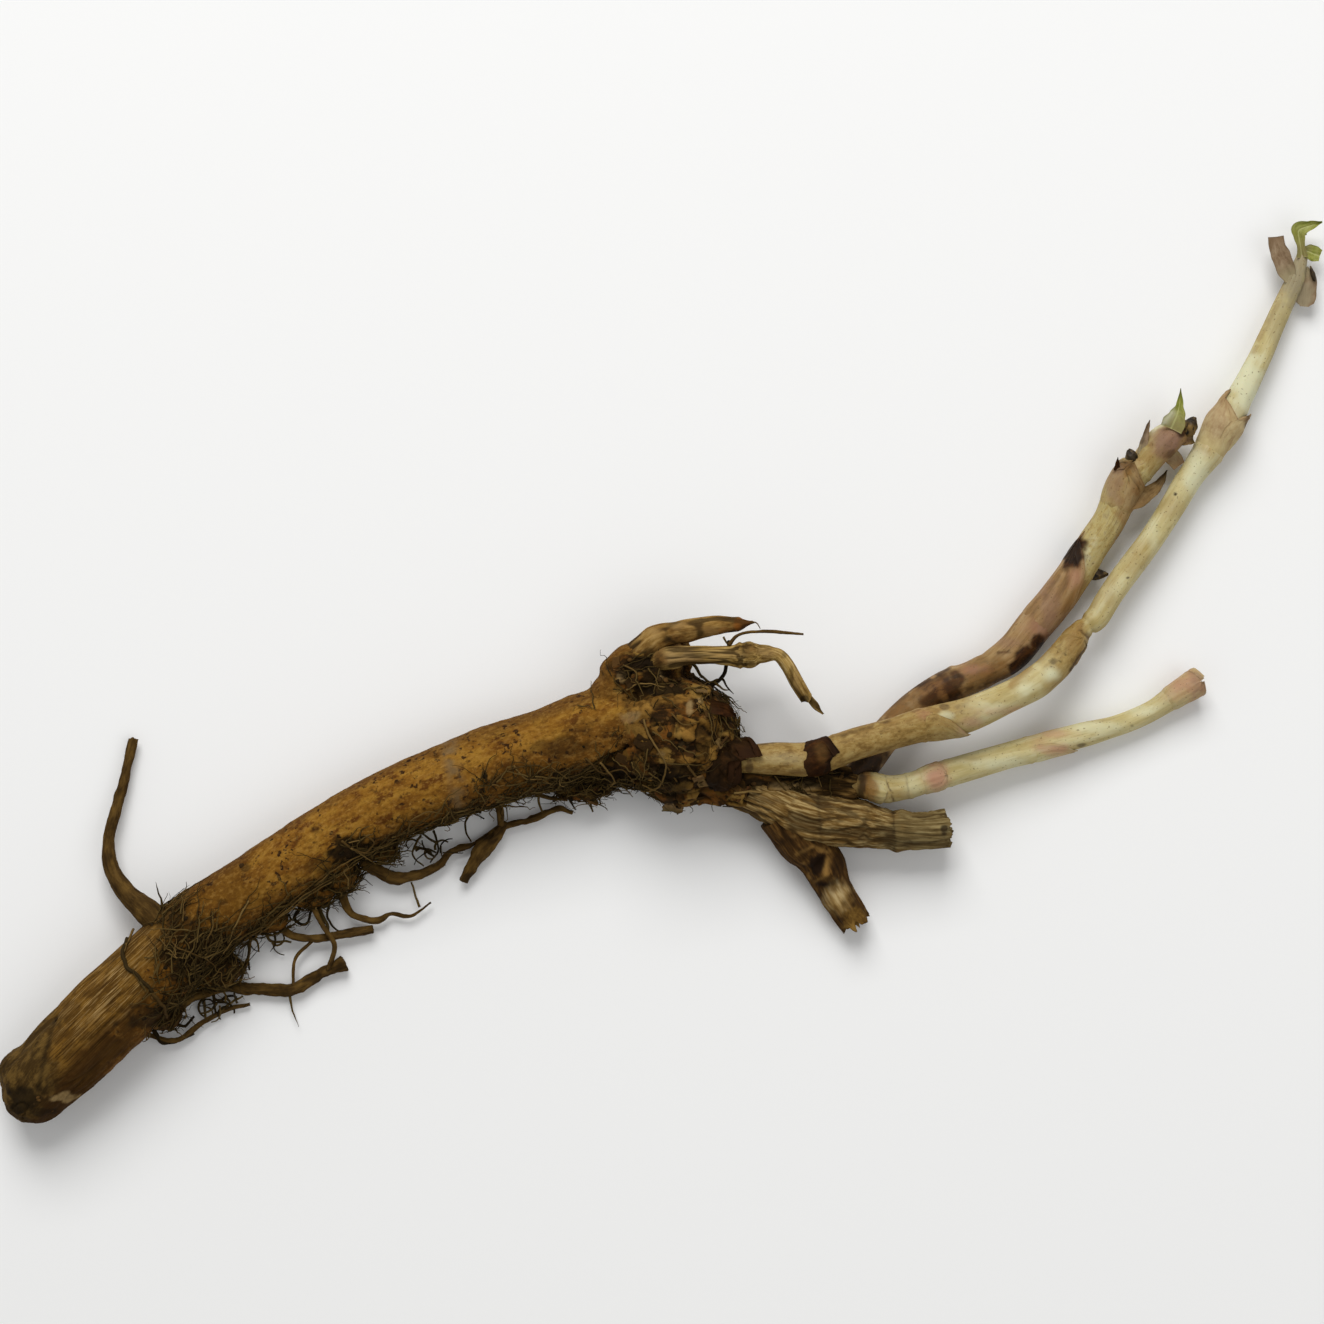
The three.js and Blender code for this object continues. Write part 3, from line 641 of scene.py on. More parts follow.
def outward(points, faces):
    """Unit normals at the points."""
    quads = np.array(faces)
    cross = np.cross(points[quads[:, 2]] - points[quads[:, 0]], points[quads[:, 3]] - points[quads[:, 1]])
    normals = np.zeros_like(points)
    for corner in range(4):
        for k in range(3):
            normals[:, k] += np.bincount(quads[:, corner], cross[:, k], len(points))
    return normals / np.maximum(np.linalg.norm(normals, axis=1, keepdims=True), 1e-9)


def unbent(points, stem):
    """Straight coordinates of free points: along the nearest stretch of a stem, and across it."""
    samples = np.linspace(0, stem.length, 500)
    centres = stem.centre(samples)
    nearest = np.empty(len(points))
    for i in range(0, len(points), 4000):
        gap = ((points[i:i + 4000, None] - centres[None]) ** 2).sum(-1)
        nearest[i:i + 4000] = samples[np.argmin(gap, axis=1)]
    centre, along, side, up = stem.frame(nearest)
    reach = points - centre
    nearest = nearest + (reach * along).sum(-1)
    return np.stack([nearest, (reach * side).sum(-1), (reach * up).sum(-1)], -1)


parts = [
    turned(log_stem, 2, 40)[:2], turned(neck_stem, 2, 32)[:2],
    *[ball(*knob) for knob in CROWN_KNOBS + BARK_KNOBS + ROOT_BASES],
]
root_points, root_faces = remeshed(*joined(parts), VOXEL)
root_points = relaxed(root_points, root_faces, ROUNDS)
print("rootstock:", len(root_points), "points,", 2 * len(root_faces), "triangles")

# %% [markdown]
# ## Where each kind of bark lies
# The log carries smooth bark with small pits where roots fell off. Its older end has weathered to
# bare fibres. The crown is broken bark over old buds, and the log's bark ends on it with a torn lip.
# Each kind gets a mask from 0 to 1. The masks shape the relief first, and are then kept as
# attributes, so that the finish knows which kind of bark it is painting.

# %% Bark masks
root_flat = unbent(root_points, spine)
root_x, root_y = root_points.T[:2]
across_log = root_flat[:, 1]
wobble = fractal(root_points, 4.5, seed=40, octaves=4)


def line_mark(points, start, end, width):
    """1 on a line in the plan, falling to 0 at its sides."""
    start, end = np.array(start, float), np.array(end, float)
    reach = end - start
    t = np.clip(((points[:, :2] - start) @ reach) / (reach @ reach), 0, 1)
    gap = np.hypot(*(points[:, :2] - start - t[:, None] * reach).T)
    return np.exp(-(gap / width) ** 2)


def spot(points, centre, size, soft=0.2, ragged=0.35, seed=60):
    """1 inside a patch with a broken edge: its middle in the plan and its half sizes."""
    offset = (points[:, :2] - np.array(centre)) / np.array(size)
    edge = np.hypot(*offset.T) + ragged * fractal(points, 2.2, seed)
    return 1 - smooth(1 - soft, 1 + soft, edge)


def spots(points, table, soft=0.2, ragged=0.35):
    """Several patches, each (strength, x, y, half width, half height)."""
    return np.max([row[0] * spot(points, row[1:3], row[3:5], soft, ragged) for row in table], axis=0)


# The log's bark ends on the crown at lip_x for each lip_y.
lip_y = [-14, -9, -6.8, -4.9, -2.7, -0.8, 1.7, 6.4, 10.8, 12.6, 14, 16, 18]
lip_x = [-9, -3, 0.5, 4.3, 7.6, 5.8, 4.9, 4.8, 3.8, 2.4, 2.2, 4.6, 9]
past_lip = root_x - np.interp(root_y, lip_y, lip_x) + 1.4 * wobble
on_crown = smooth(-0.5, 0.5, past_lip)
lip = np.exp(-((past_lip + 1.0) / 0.9) ** 2)
on_neck = smooth(34, 42, root_x)
old_wood = smooth(-99, -105, root_x + 3.5 * wobble - 0.4 * (root_y + 60))
plain_log = (1 - on_crown) * (1 - old_wood)
flank_start = np.interp(root_x, [-125, -100, -60, -34, -20, 5], [0.5, 0.0, 3.2, 2.8, -3.4, -4.8])
# The log's lower flank: redder in its own colour, and painted darker as shade.
red_shaded_flank = smooth(0, 4.2, across_log - flank_start + 1.6 * wobble)
# The log's upper edge, which the finish paints darker as shade.
shaded_crest = smooth(-5.4, -7.6, across_log + 0.7 * wobble)
# Hollows: the relief sinks them, soil crumbs gather in them, and the finish paints shade into them.
shaded_hollows = spots(root_points, [
    (1, -55.6, -27.8, 5, 3.2), (0.4, -62, -31, 4, 1.6), (0.5, -8.6, -4.8, 6.4, 2.4),
    (0.6, -79.2, -31.4, 1.2, 0.8), (0.5, -63.4, -23, 1.2, 0.7), (0.5, -84, -39, 1, 0.8),
    (1, -128.2, -82.8, 3.8, 2.7), (1, -130.4, -85, 1.7, 1.5), (0.7, -124.4, -86, 3, 1.1),
    (0.9, 2, -13, 9, 3.2), (0.8, -97, -65, 9, 3), (0.9, -87.5, -51.5, 8.5, 7), (0.6, -94, -43.5, 4.4, 3.4),
    (0.8, 47, -10, 8, 2.4), (0.75, 13, 9.6, 7, 2.2), (0.6, 11, 13, 2, 4.2), (0.8, 16, -12, 5, 4),
    (0.5, 9.5, -8, 3.4, 4), (0.7, -2, -11, 9, 2.4), (0.6, -47, -27, 6, 2.5), (0.7, 35, -13, 4, 1.5),
])
shaded_hollows = np.maximum(shaded_hollows, 0.6 * line_mark(root_points, (-121.7, -64.9), (-125.2, -81), 0.6))
fields = spots(root_points, [
    (1, 24, -7, 2.0, 4.4), (0.8, 9.4, 6, 4.6, 2.4), (0.8, 20.6, -0.6, 3.4, 2.2), (0.7, 15.5, 6.8, 4.4, 1.5),
    (0.8, 10.6, -12.6, 1.5, 1.3), (0.8, 18.8, -8.8, 2.4, 2.4), (0.5, 12.6, 0.2, 1.6, 1.2),
], 0.3)
pale_bits = spots(root_points, [
    (0.5, 7.4, 2.4, 2.2, 1.1), (0.9, 22.4, 5.6, 0.9, 0.8), (0.8, 20.2, 4.6, 0.7, 1.5),
    (0.7, 13.6, 11.4, 0.8, 1.3), (0.9, -119.5, -83, 2.2, 1.2), (0.6, 14, -5.6, 0.9, 0.6),
    (0.7, 42, -13.3, 8, 0.9), (0.5, 5, 11.4, 0.9, 1.5), (0.5, 18.6, -4, 1.4, 0.7),
], 0.3, 0.6)
print(f"crown {on_crown.mean():.0%} and old wood {old_wood.mean():.0%} of the skin")

# %% [markdown]
# ## Bark relief
# Broken bark looks broken because neighbouring flakes stand at different heights and tilts with a
# crack between them. `flakes` gives each point the number, the tilt and the crack distance of its
# nearest cell, and a slow warp keeps the flakes from looking like tiles. The old wood gets long
# grooves. Each kind of relief is pushed out along the normals and faded into its neighbour with the
# masks.

# %% Bark relief
BARK_TOP = 25.2  # the CAD box ends just above


def flakes(points, size, seed):
    """The nearest flake's number (0 to 1), its tilt at the point, and how near the crack is."""
    q = points / np.asarray(size, float)
    home = np.floor(q).astype(np.int64)
    nearest, second = np.full(len(q), 9.0), np.full(len(q), 9.0)
    number, tilt = np.zeros(len(q)), np.zeros(len(q))
    for shift in np.ndindex(3, 3, 3):
        cell = home + np.array(shift) - 1
        throw = np.stack([lattice(*cell.T, seed + k) for k in range(3)], -1)
        offset = q - (cell + 0.5 + 0.42 * throw)
        gap = np.linalg.norm(offset, axis=1)
        closer = gap < nearest
        lean = (offset * np.roll(throw, 1, axis=1)).sum(-1)
        number = np.where(closer, 0.5 + 0.5 * lattice(*cell.T, seed + 3), number)
        tilt = np.where(closer, lean, tilt)
        second = np.where(closer, nearest, np.minimum(second, gap))
        nearest = np.minimum(nearest, gap)
    return number, tilt, second - nearest


warp = fractal(root_points, 5, seed=47, octaves=2)
flake_number, flake_tilt, flake_crack = flakes(root_points + 1.6 * warp[:, None], (5.6, 4.2, 4.2), 300)
broken = (
    0.9 * (flake_number - 0.5) + flake_tilt - 0.4 * smooth(0.1, 0, flake_crack)
    + 0.5 * fractal(root_points, (6, 2.2, 2.2), seed=19, octaves=4, gain=0.55)
)
grooves = 1 - smooth(0, 0.14, np.abs(noise(root_flat / (34, 2.8, 2.8), 11)))
fine_grooves = 1 - smooth(0, 0.2, np.abs(noise(root_flat / (16, 1.1, 1.1), 12)))
pits = smooth(0.45, 0.75, noise(root_flat / (1.5, 1.2, 1.2), 13))
pits = pits * smooth(0.0, 0.45, noise(root_points / 7, 14))
neck_strings = fractal(root_flat, (8, 1.2, 1.2), seed=15)
pinch = line_mark(root_points, (-121.7, -64.9), (-125.2, -81), 0.9)
wrinkles = fractal(root_points, 2.4, seed=17) + fractal(root_flat, (9, 3, 3), seed=21)
skin_relief = 0.1 * wrinkles - 0.3 * pits
threads = fractal(root_flat, (26, 2.2, 2.2), seed=18)
wood_relief = 0.22 * threads - 0.42 * grooves - 0.16 * fine_grooves - 0.5 * pinch
root_relief = (
    0.4 * fractal(root_points, 14, seed=16, octaves=2)
    + plain_log * skin_relief
    + (1 - on_crown) * 0.35 * lip - 0.25 * on_crown
    + old_wood * wood_relief
    + on_crown * (1 - on_neck) * broken
    + on_neck * (0.7 * neck_strings - 0.3) - 0.5 * shaded_hollows * (1 - old_wood)
)
root_points = root_points + outward(root_points, root_faces) * root_relief[:, None]
root_points[:, 2] = np.clip(root_points[:, 2], 0.02, BARK_TOP)
print("relief from", round(root_relief.min(), 2), "to", round(root_relief.max(), 2), "mm")

# %% [markdown]
# ## Bark finish
# Fresh hop bark is olive gold, mottled with red-brown and sprinkled with dark pits. Its lower flank
# is redder, and the finish paints it darker as shade; the upper edge gets painted shade too. The old
# wood is pale along its threads, and on the crown each flake has a tone of its own. The finish mixes
# these by the masks, then darkens every crack and paints shade into every hollow and low place.

# %% Where hairs and soil hold
hair = spots(root_points, [
    (1, -90, -51.5, 8, 8), (0.5, -96.5, -43, 3.5, 3.5), (0.4, -96, -60, 5, 6), (0.7, -52, -28.5, 8, 3),
    (0.8, -44, -27, 6, 2.4), (0.8, -8, -12.6, 17, 2.6), (0.06, 14, -3, 14, 12), (0.3, 25, 5, 4, 4),
    (0.25, -66, -40, 14, 2.4), (0.15, 8, 12, 5, 4), (0.16, 6, -9, 7, 5), (0.25, 40, -12, 8, 3),
    (0.35, 30, 0, 3, 4),
], 0.5)
hair = np.maximum(hair, 0.5 * smooth(5, 7, across_log) * smooth(-104, -96, root_x) * smooth(4, -6, root_x))
clumps = smooth(-0.1, 0.5, fractal(root_points, 3.5, seed=44, octaves=2))
caught = 0.6 * on_crown * (1 - 0.6 * on_neck) + 0.7 * shaded_hollows + 0.5 * hair - 0.7 * fields
soil = np.clip(caught, 0, 1) * clumps
gaps = smooth(0.1, 0, flake_crack) * smooth(-0.3, 0.4, wobble)
bleached = spots(root_points, [
    (1, -110, -59, 9, 6), (0.5, -103, -49, 4, 4), (0.5, -118, -66, 4, 4),
], 0.6, 0.5)
ring = line_mark(root_points, (-34, -3), (-30, -21), 1.7) * smooth(-0.9, 0.5, noise(root_points / 1.6, 41))
root_attributes = {
    "grain": spine.frame(root_flat[:, 0])[1], "hair": hair, "soil": soil,
    "fringe": hair * smooth(4, 7, across_log),
    "broken": on_crown * (1 - on_neck) * (1 - 0.8 * fields) * (0.25 + clumps),
    "straight": root_flat, "height": root_relief, "crown": on_crown, "neck": on_neck, "old": old_wood,
    "red_shaded_flank": red_shaded_flank, "shaded_crest": shaded_crest, "dark": shaded_hollows, "gold": fields, "pale": pale_bits,
    "worn": smooth(-70, -84, root_x + 3 * wobble), "end": smooth(-118, -124, root_x + 3 * wobble),
    "bleached": bleached, "tone": flake_number, "ring": ring,
    "crack": gaps * smooth(0.5, 2.5, past_lip) * (1 - 0.7 * fields),
}


# %% Bark finish
def bark_finish():
    p = Paint("bark_finish", 0.8, 0.05)
    streak = p.noise((7, 3), 5, 0.62)
    thread = p.noise((9, 0.6), 3, 0.6)
    mottle = p.noise((4.6, 3), 5, 0.68)
    grit = p.noise(0.8, 3, 0.7)
    gold = p.ramp(streak, [
        (0.32, (99, 62, 18)), (0.46, (124, 84, 26)), (0.6, (143, 104, 38)), (0.74, (127, 84, 26)),
    ])
    colour = p.mix(p.between(mottle, 0.52, 0.64), gold, (86, 50, 14))
    flecks = p.between(p.noise((1.2, 0.6), 2, 0.5), 0.62, 0.7)
    colour = p.over(0.4, flecks, colour, (166, 128, 60))
    rough = p.between(p.noise((1.7, 1.1), 4, 0.7), 0.54, 0.66)
    colour = p.over(0.55, rough, colour, (86, 54, 18))
    colour = p.over(0.85, "worn", colour, p.mix(streak, (58, 35, 8), (110, 72, 18)))
    # Painted shade along the log's upper edge.
    colour = p.over(0.7, "shaded_crest", colour, (84, 54, 20))
    # The lower flank's own red, darkened further as painted shade.
    red_and_shade = p.mix(p.between(mottle, 0.4, 0.62), (104, 67, 20), (70, 44, 13))
    colour = p.over(0.88, "red_shaded_flank", colour, red_and_shade)
    groups = p.between(p.noise(7, 2, 0.5), 0.44, 0.56)
    specks = p.times(p.between(p.noise(1.3, 2, 0.5), 0.57, 0.65), groups)
    colour = p.mix(specks, colour, (44, 26, 10))
    grain = p.noise((1.1, 0.8), 3, 0.65)
    colour = p.over(0.3, p.between(grain, 0.5, 0.64), colour, (156, 118, 58))
    colour = p.over(0.4, p.between(grain, 0.47, 0.35), colour, (74, 46, 14))
    ash = p.mix(grit, (86, 68, 44), (128, 106, 74))
    colour = p.over(0.8, "ring", colour, ash)
    wood = p.mix(p.between(mottle, 0.42, 0.6), (82, 56, 18), (110, 78, 28))
    strand = p.noise((8, 0.32), 4, 0.65)
    bleached = p.plus(0.25, p.times(p.mask("bleached"), 0.6))
    pale = p.times(p.between(strand, 0.5, 0.66), bleached)
    wood = p.mix(pale, wood, (160, 132, 84))
    wood = p.over(0.8, p.between(strand, 0.47, 0.36), wood, (48, 31, 10))
    tip = p.mix(p.between(mottle, 0.42, 0.6), (50, 38, 18), (92, 72, 36))
    wood = p.over(0.7, "end", wood, tip)
    # Painted shade on the old wood's lower flank.
    wood = p.over(0.8, "red_shaded_flank", wood, (52, 31, 9))
    colour = p.over(1, "old", colour, wood)
    rubble = p.ramp(p.plus(p.times(p.mask("tone"), 0.55), p.times(mottle, 0.45)), [
        (0.26, (38, 25, 8)), (0.42, (68, 45, 14)), (0.54, (94, 66, 24)), (0.7, (128, 98, 46)),
    ])
    dirt = p.mix(p.between(mottle, 0.44, 0.6), (46, 29, 10), (102, 64, 22))
    rubble = p.mix(p.between(p.noise(3.4, 5, 0.62), 0.46, 0.56), rubble, dirt)
    colour = p.over(1, "crown", colour, rubble)
    neck = p.ramp(p.noise((8, 0.9), 4, 0.6), [
        (0.36, (40, 27, 11)), (0.52, (76, 54, 24)), (0.68, (126, 98, 52)),
    ])
    colour = p.over(1, "neck", colour, neck)
    field = p.mix(p.between(mottle, 0.38, 0.62), (90, 60, 20), (144, 107, 48))
    colour = p.over(1, "gold", colour, field)
    colour = p.over(1, "pale", colour, p.mix(grit, (110, 86, 48), (164, 138, 94)))
    colour = p.mix(p.times(p.mask("crack"), p.mask("crown")), colour, (22, 15, 7))
    # Painted shade: every low place of the relief is darkened.
    low = p.between(p.mask("height"), -0.2, -0.9)
    colour = p.over(0.75, low, colour, (26, 17, 7))
    # Painted shade in the hollows.
    colour = p.over(0.85, "dark", colour, (26, 19, 9))
    height = p.plus(p.times(thread, 0.5), p.times(grit, 0.6))
    return p.finish(colour, height, 0.6, 0.35)


bark = bark_finish()
root_mesh = new_mesh("rootstock_bark", root_points, root_faces, root_attributes)
settle(root_mesh, bark, "bark", ["rootstock"])


# %% [markdown]
# ## Hairs, crumbs and flakes with Geometry Nodes
# A dug root is wrapped in hundreds of fine root hairs, with crumbs of soil and flakes of bark caught
# in them. They repeat, so Geometry Nodes scatter them on the rootstock. Each recipe has named inputs
# and a seed. It is evaluated once, and the result is kept as a plain mesh. Every copy stores a random
# number called `which`, and the finish turns that into a tone of its own.

# %% Recipe helper
class Recipe(Nodes):
    """A Geometry Nodes tree with named inputs; lengths go in as millimetres."""

    def __init__(self, name, **inputs):
        self.tree = bpy.data.node_groups.new(name, "GeometryNodeTree")
        face = self.tree.interface
        face.new_socket("Geometry", in_out="OUTPUT", socket_type="NodeSocketGeometry")
        face.new_socket("Geometry", in_out="INPUT", socket_type="NodeSocketGeometry")
        self.keys = {}
        for key, value in inputs.items():
            kind = "NodeSocketInt" if isinstance(value, int) else "NodeSocketFloat"
            socket = face.new_socket(key, in_out="INPUT", socket_type=kind)
            socket.default_value = value
            self.keys[key] = socket.identifier
        self.given = self.tree.nodes.new("NodeGroupInput").outputs

    def seed(self, step):
        return self.plus(self.given["seed"], step)

    def random(self, low, high, step):
        """A random number for each element, from low to high; every step has draws of its own."""
        limits = {2: low, 3: high, 8: self.seed(step)}
        return self.add("FunctionNodeRandomValue", limits, data_type="FLOAT").outputs[1]

    def read(self, name, kind="FLOAT"):
        return self.out("GeometryNodeInputNamedAttribute", {"Name": name}, data_type=kind)

    def vector(self, operation, a, b):
        return self.out("ShaderNodeVectorMath", {0: a, 1: b}, operation=operation)

    def scaled(self, vector, factor):
        return self.out("ShaderNodeVectorMath", {0: vector, 3: factor}, operation="SCALE")

    def scattered(self, mask):
        """Points strewn where the mask is high, and the surface normal at each."""
        density = self.times(self.read(mask), self.given["per_square_cm"])
        node = self.add("GeometryNodeDistributePointsOnFaces", {
            "Mesh": self.given["Geometry"], "Density": self.times(density, 1e4), "Seed": self.given["seed"],
        })
        return node.outputs["Points"], node.outputs["Normal"]

    def turned(self, normal, spread):
        """A rotation with its z axis along the normal and its x axis near the grain."""
        reach = {0: (-1, -1, -1), 1: (1, 1, 1), 8: self.seed(3)}
        throw = self.out("FunctionNodeRandomValue", reach, data_type="FLOAT_VECTOR")
        heading = self.vector("ADD", self.read("grain", "FLOAT_VECTOR"), self.scaled(throw, spread))
        return self.out("FunctionNodeAxesToRotation", {"Primary Axis": normal, "Secondary Axis": heading},
                        primary_axis="Z", secondary_axis="X")

    def copies(self, points, shape, rotation, scale):
        """Copies of a shape on points, each with its own number, made real."""
        placed = self.out("GeometryNodeInstanceOnPoints", {
            "Points": points, "Instance": shape, "Rotation": rotation, "Scale": scale,
        })
        number = self.random(0.0, 1.0, 7)
        named = self.out("GeometryNodeStoreNamedAttribute", {
            "Geometry": placed, "Name": "which", "Value": number,
        }, data_type="FLOAT", domain="INSTANCE")
        return self.out("GeometryNodeRealizeInstances", {"Geometry": named})

    def wavy(self, geometry, position, size, amount):
        """Copies bent by smooth noise, each in its own way; size and amount in millimetres."""
        finer = self.scaled(position, self.math("DIVIDE", 1 / MM, size))
        node = self.add("ShaderNodeTexNoise", {
            "Vector": finer, "W": self.times(self.read("which"), 90.0), "Scale": 1.0, "Detail": 1.0,
        }, noise_dimensions="4D")
        centred = self.vector("SUBTRACT", node.outputs["Color"], (0.5, 0.5, 0.5))
        offset = self.scaled(centred, self.times(amount, 2 * MM))
        return self.out("GeometryNodeSetPosition", {"Geometry": geometry, "Offset": offset})

    def done(self, geometry, material):
        real = self.out("GeometryNodeRealizeInstances", {"Geometry": geometry})
        painted = self.out("GeometryNodeSetMaterial", {"Geometry": real, "Material": material})
        self.add("NodeGroupOutput", {0: painted})
        print(f"{self.tree.name}: {len(self.tree.nodes)} nodes")


# %% Recipes for hairs, crumbs and flakes
def hair_recipe(name, mask, material):
    """Root hairs: wavy threads that lie on the skin where they start and lift away towards their tips."""
    r = Recipe(name, per_square_cm=60.0, shortest=4.0, longest=12.0, thickness=0.16, spread=1.0,
               wander=1.6, wave=4.0, cling=0.9, lift=0.3, seed=1)
    position = r.out("GeometryNodeInputPosition")
    points, normal = r.scattered(mask)
    line = r.out("GeometryNodeCurvePrimitiveLine", {"Start": (0, 0, 0), "End": (MM, 0, 0)})
    line = r.out("GeometryNodeResampleCurve", {"Curve": line, "Count": 12})
    length = r.random(r.given["shortest"], r.given["longest"], 1)
    hairs = r.copies(points, line, r.turned(normal, r.given["spread"]), length)
    part = r.add("GeometryNodeSplineParameter").outputs["Factor"]
    grow = r.times(part, r.given["wander"])
    hairs = r.wavy(hairs, position, r.given["wave"], grow)
    near = r.out("GeometryNodeProximity", {0: r.given["Geometry"], 1: position}, target_element="FACES")
    facing = r.out("GeometryNodeSampleNearestSurface", {
        "Mesh": r.given["Geometry"], "Value": r.out("GeometryNodeInputNormal"), "Sample Position": position,
    }, data_type="FLOAT_VECTOR")
    height = r.times(r.plus(r.given["lift"], r.times(r.read("which"), 0.5)), MM)
    lying = r.vector("ADD", near, r.scaled(facing, height))
    hold = r.times(r.given["cling"], r.math("SUBTRACT", 1.0, r.times(part, 0.3)))
    settled = r.add("ShaderNodeMix", {0: hold, 4: position, 5: lying}, data_type="VECTOR").outputs[1]
    hairs = r.out("GeometryNodeSetPosition", {"Geometry": hairs, "Position": settled})
    round_section = r.out("GeometryNodeCurvePrimitiveCircle", {"Resolution": 4, "Radius": MM})
    taper = r.times(r.given["thickness"], r.math("SUBTRACT", 1.0, r.times(part, 0.65)))
    width = r.times(taper, r.plus(0.6, r.read("which")))
    tubes = r.out("GeometryNodeCurveToMesh", {
        "Curve": hairs, "Profile Curve": round_section, "Scale": width, "Fill Caps": True,
    })
    r.done(tubes, material)
    return r


def crumb_recipe(name, mask, material):
    """Crumbs: small rough lumps, sunk a little into what they stick to."""
    r = Recipe(name, per_square_cm=60.0, smallest=0.2, largest=0.8, flatness=0.7, rough=0.35, seed=1)
    position = r.out("GeometryNodeInputPosition")
    points, normal = r.scattered(mask)
    lump = r.out("GeometryNodeMeshIcoSphere", {"Radius": MM, "Subdivisions": 2})
    size = r.random(r.given["smallest"], r.given["largest"], 1)
    stretch = r.random(0.6, 1.3, 2)
    flat = r.times(size, r.given["flatness"])
    shape = r.out("ShaderNodeCombineXYZ", {0: size, 1: r.times(size, stretch), 2: flat})
    lumps = r.copies(points, lump, r.turned(normal, 2.0), shape)
    lumps = r.wavy(lumps, position, 0.7, r.given["rough"])
    r.done(lumps, material)
    return r


def flake_recipe(name, mask, material):
    """Flakes: thin bent chips of bark, tilted so that one end stands up."""
    r = Recipe(name, per_square_cm=20.0, shortest=1.2, longest=3.4, tilt=0.5, bend=0.5, seed=1)
    position = r.out("GeometryNodeInputPosition")
    points, normal = r.scattered(mask)
    chip = r.out("GeometryNodeMeshCube", {
        "Size": (MM, 0.6 * MM, 0.1 * MM), "Vertices X": 4, "Vertices Y": 3, "Vertices Z": 2,
    })
    length = r.random(r.given["shortest"], r.given["longest"], 1)
    turn = r.turned(normal, 1.5)
    throw = r.random(-1.0, 1.0, 2)
    lean = r.out("ShaderNodeCombineXYZ", {1: r.times(r.given["tilt"], throw)})
    turn = r.out("FunctionNodeRotateRotation", {"Rotation": turn, "Rotate By": lean}, rotation_space="LOCAL")
    chips = r.copies(points, chip, turn, length)
    chips = r.wavy(chips, position, 2.2, r.given["bend"])
    r.done(chips, material)
    return r


# %% Growing a recipe
HAIR_TOP = 25.3  # hairs and crumbs stay below the top of the CAD box


def grow(recipe, source, name, material, slot, smooth_skin=True, **values):
    """Evaluates a recipe on a copy of a mesh, and keeps the result as a finished piece."""
    host = bpy.data.objects.new(name + "_host", source)
    bpy.context.scene.collection.objects.link(host)
    modifier = host.modifiers.new("grow", "NODES")
    modifier.node_group = recipe.tree
    for key, value in values.items():
        modifier[recipe.keys[key]] = value
    graph = bpy.context.evaluated_depsgraph_get()
    mesh = bpy.data.meshes.new_from_object(host.evaluated_get(graph))
    bpy.data.objects.remove(host)
    points = np.empty(3 * len(mesh.vertices))
    mesh.vertices.foreach_get("co", points)
    points[2::3] = np.clip(points[2::3], FLOOR_GAP * MM, HAIR_TOP * MM)
    mesh.vertices.foreach_set("co", points)
    mesh.name = name
    if smooth_skin:
        mesh.shade_smooth()
    return settle(mesh, material, slot)


def tone_finish(name, tones):
    """A plain rough finish whose tone differs from copy to copy."""
    p = Paint(name, 0.85, 0.05)
    place = p.add("ShaderNodeTexCoord").outputs["Object"]
    fine = p.noise(0.8 * MM, 3, 0.6, place)
    pick = p.plus(p.times(p.mask("which"), 0.75), p.times(fine, 0.25))
    stops = [(0.1 + 0.75 * k / (len(tones) - 1), tone) for k, tone in enumerate(tones)]
    return p.finish(p.ramp(pick, stops), fine, 0.5, 0.1)


# %% Hairs, crumbs and flakes on the rootstock
hair_dark = tone_finish("dark_hair_finish", [(28, 21, 9), (42, 32, 15), (60, 47, 22), (88, 70, 36)])
hair_pale = tone_finish("pale_hair_finish", [(66, 48, 21), (92, 70, 35), (120, 96, 54)])
soil_finish = tone_finish("soil_finish", [(24, 18, 9), (40, 29, 14), (62, 43, 20), (92, 66, 32)])
flake_finish = tone_finish("flake_finish", [
    (38, 26, 12), (58, 40, 18), (82, 58, 28), (70, 44, 22), (116, 92, 54),
])
matted = hair_recipe("matted_hairs", "hair", hair_dark)
grow(matted, root_mesh, "root_hairs", hair_dark, "root_bark", per_square_cm=80.0,
     shortest=3.0, longest=11.0, thickness=0.13, spread=1.4, wander=2.6, wave=2.6, seed=11)
loose = hair_recipe("loose_hairs", "fringe", hair_dark)
grow(loose, root_mesh, "hanging_hairs", hair_dark, "root_bark", per_square_cm=38.0, shortest=3.0,
     longest=10.0, thickness=0.14, spread=1.6, wander=4.0, wave=2.6, cling=0.35, lift=0.6, seed=21)
grow(matted, root_mesh, "pale_hairs", hair_pale, "root_bark", per_square_cm=4.5,
     shortest=4.0, longest=9.0, thickness=0.11, spread=2.0, wander=3.2, wave=3.0, lift=0.5, seed=31)
crumbs = crumb_recipe("crumbs", "soil", soil_finish)
grow(crumbs, root_mesh, "soil_crumbs", soil_finish, "bark", per_square_cm=34.0,
     smallest=0.15, largest=0.7, seed=41)
chips = flake_recipe("chips", "broken", flake_finish)
grow(chips, root_mesh, "bark_flakes", flake_finish, "bark", False, per_square_cm=4.5,
     shortest=1.0, longest=4.6, tilt=0.3, seed=51)

# %% [markdown]
# ## Rootlets laid one by one
# The larger rootlets can be told apart, so they are laid one by one. Each is a thickness and a few
# places in the plan. `bark_top` finds the bark's height below each place, and the rootlet lies on
# it. Where there is no bark below, the given height is used. All of one colour form one piece.

# %% Rootlet helpers
def bark_top(x, y, reach=0.8):
    """Height of the bark above a place in the plan, or zero beside it."""
    near = np.hypot(root_points[:, 0] - x, root_points[:, 1] - y) < reach
    return root_points[near, 2].max() if near.any() else 0.0


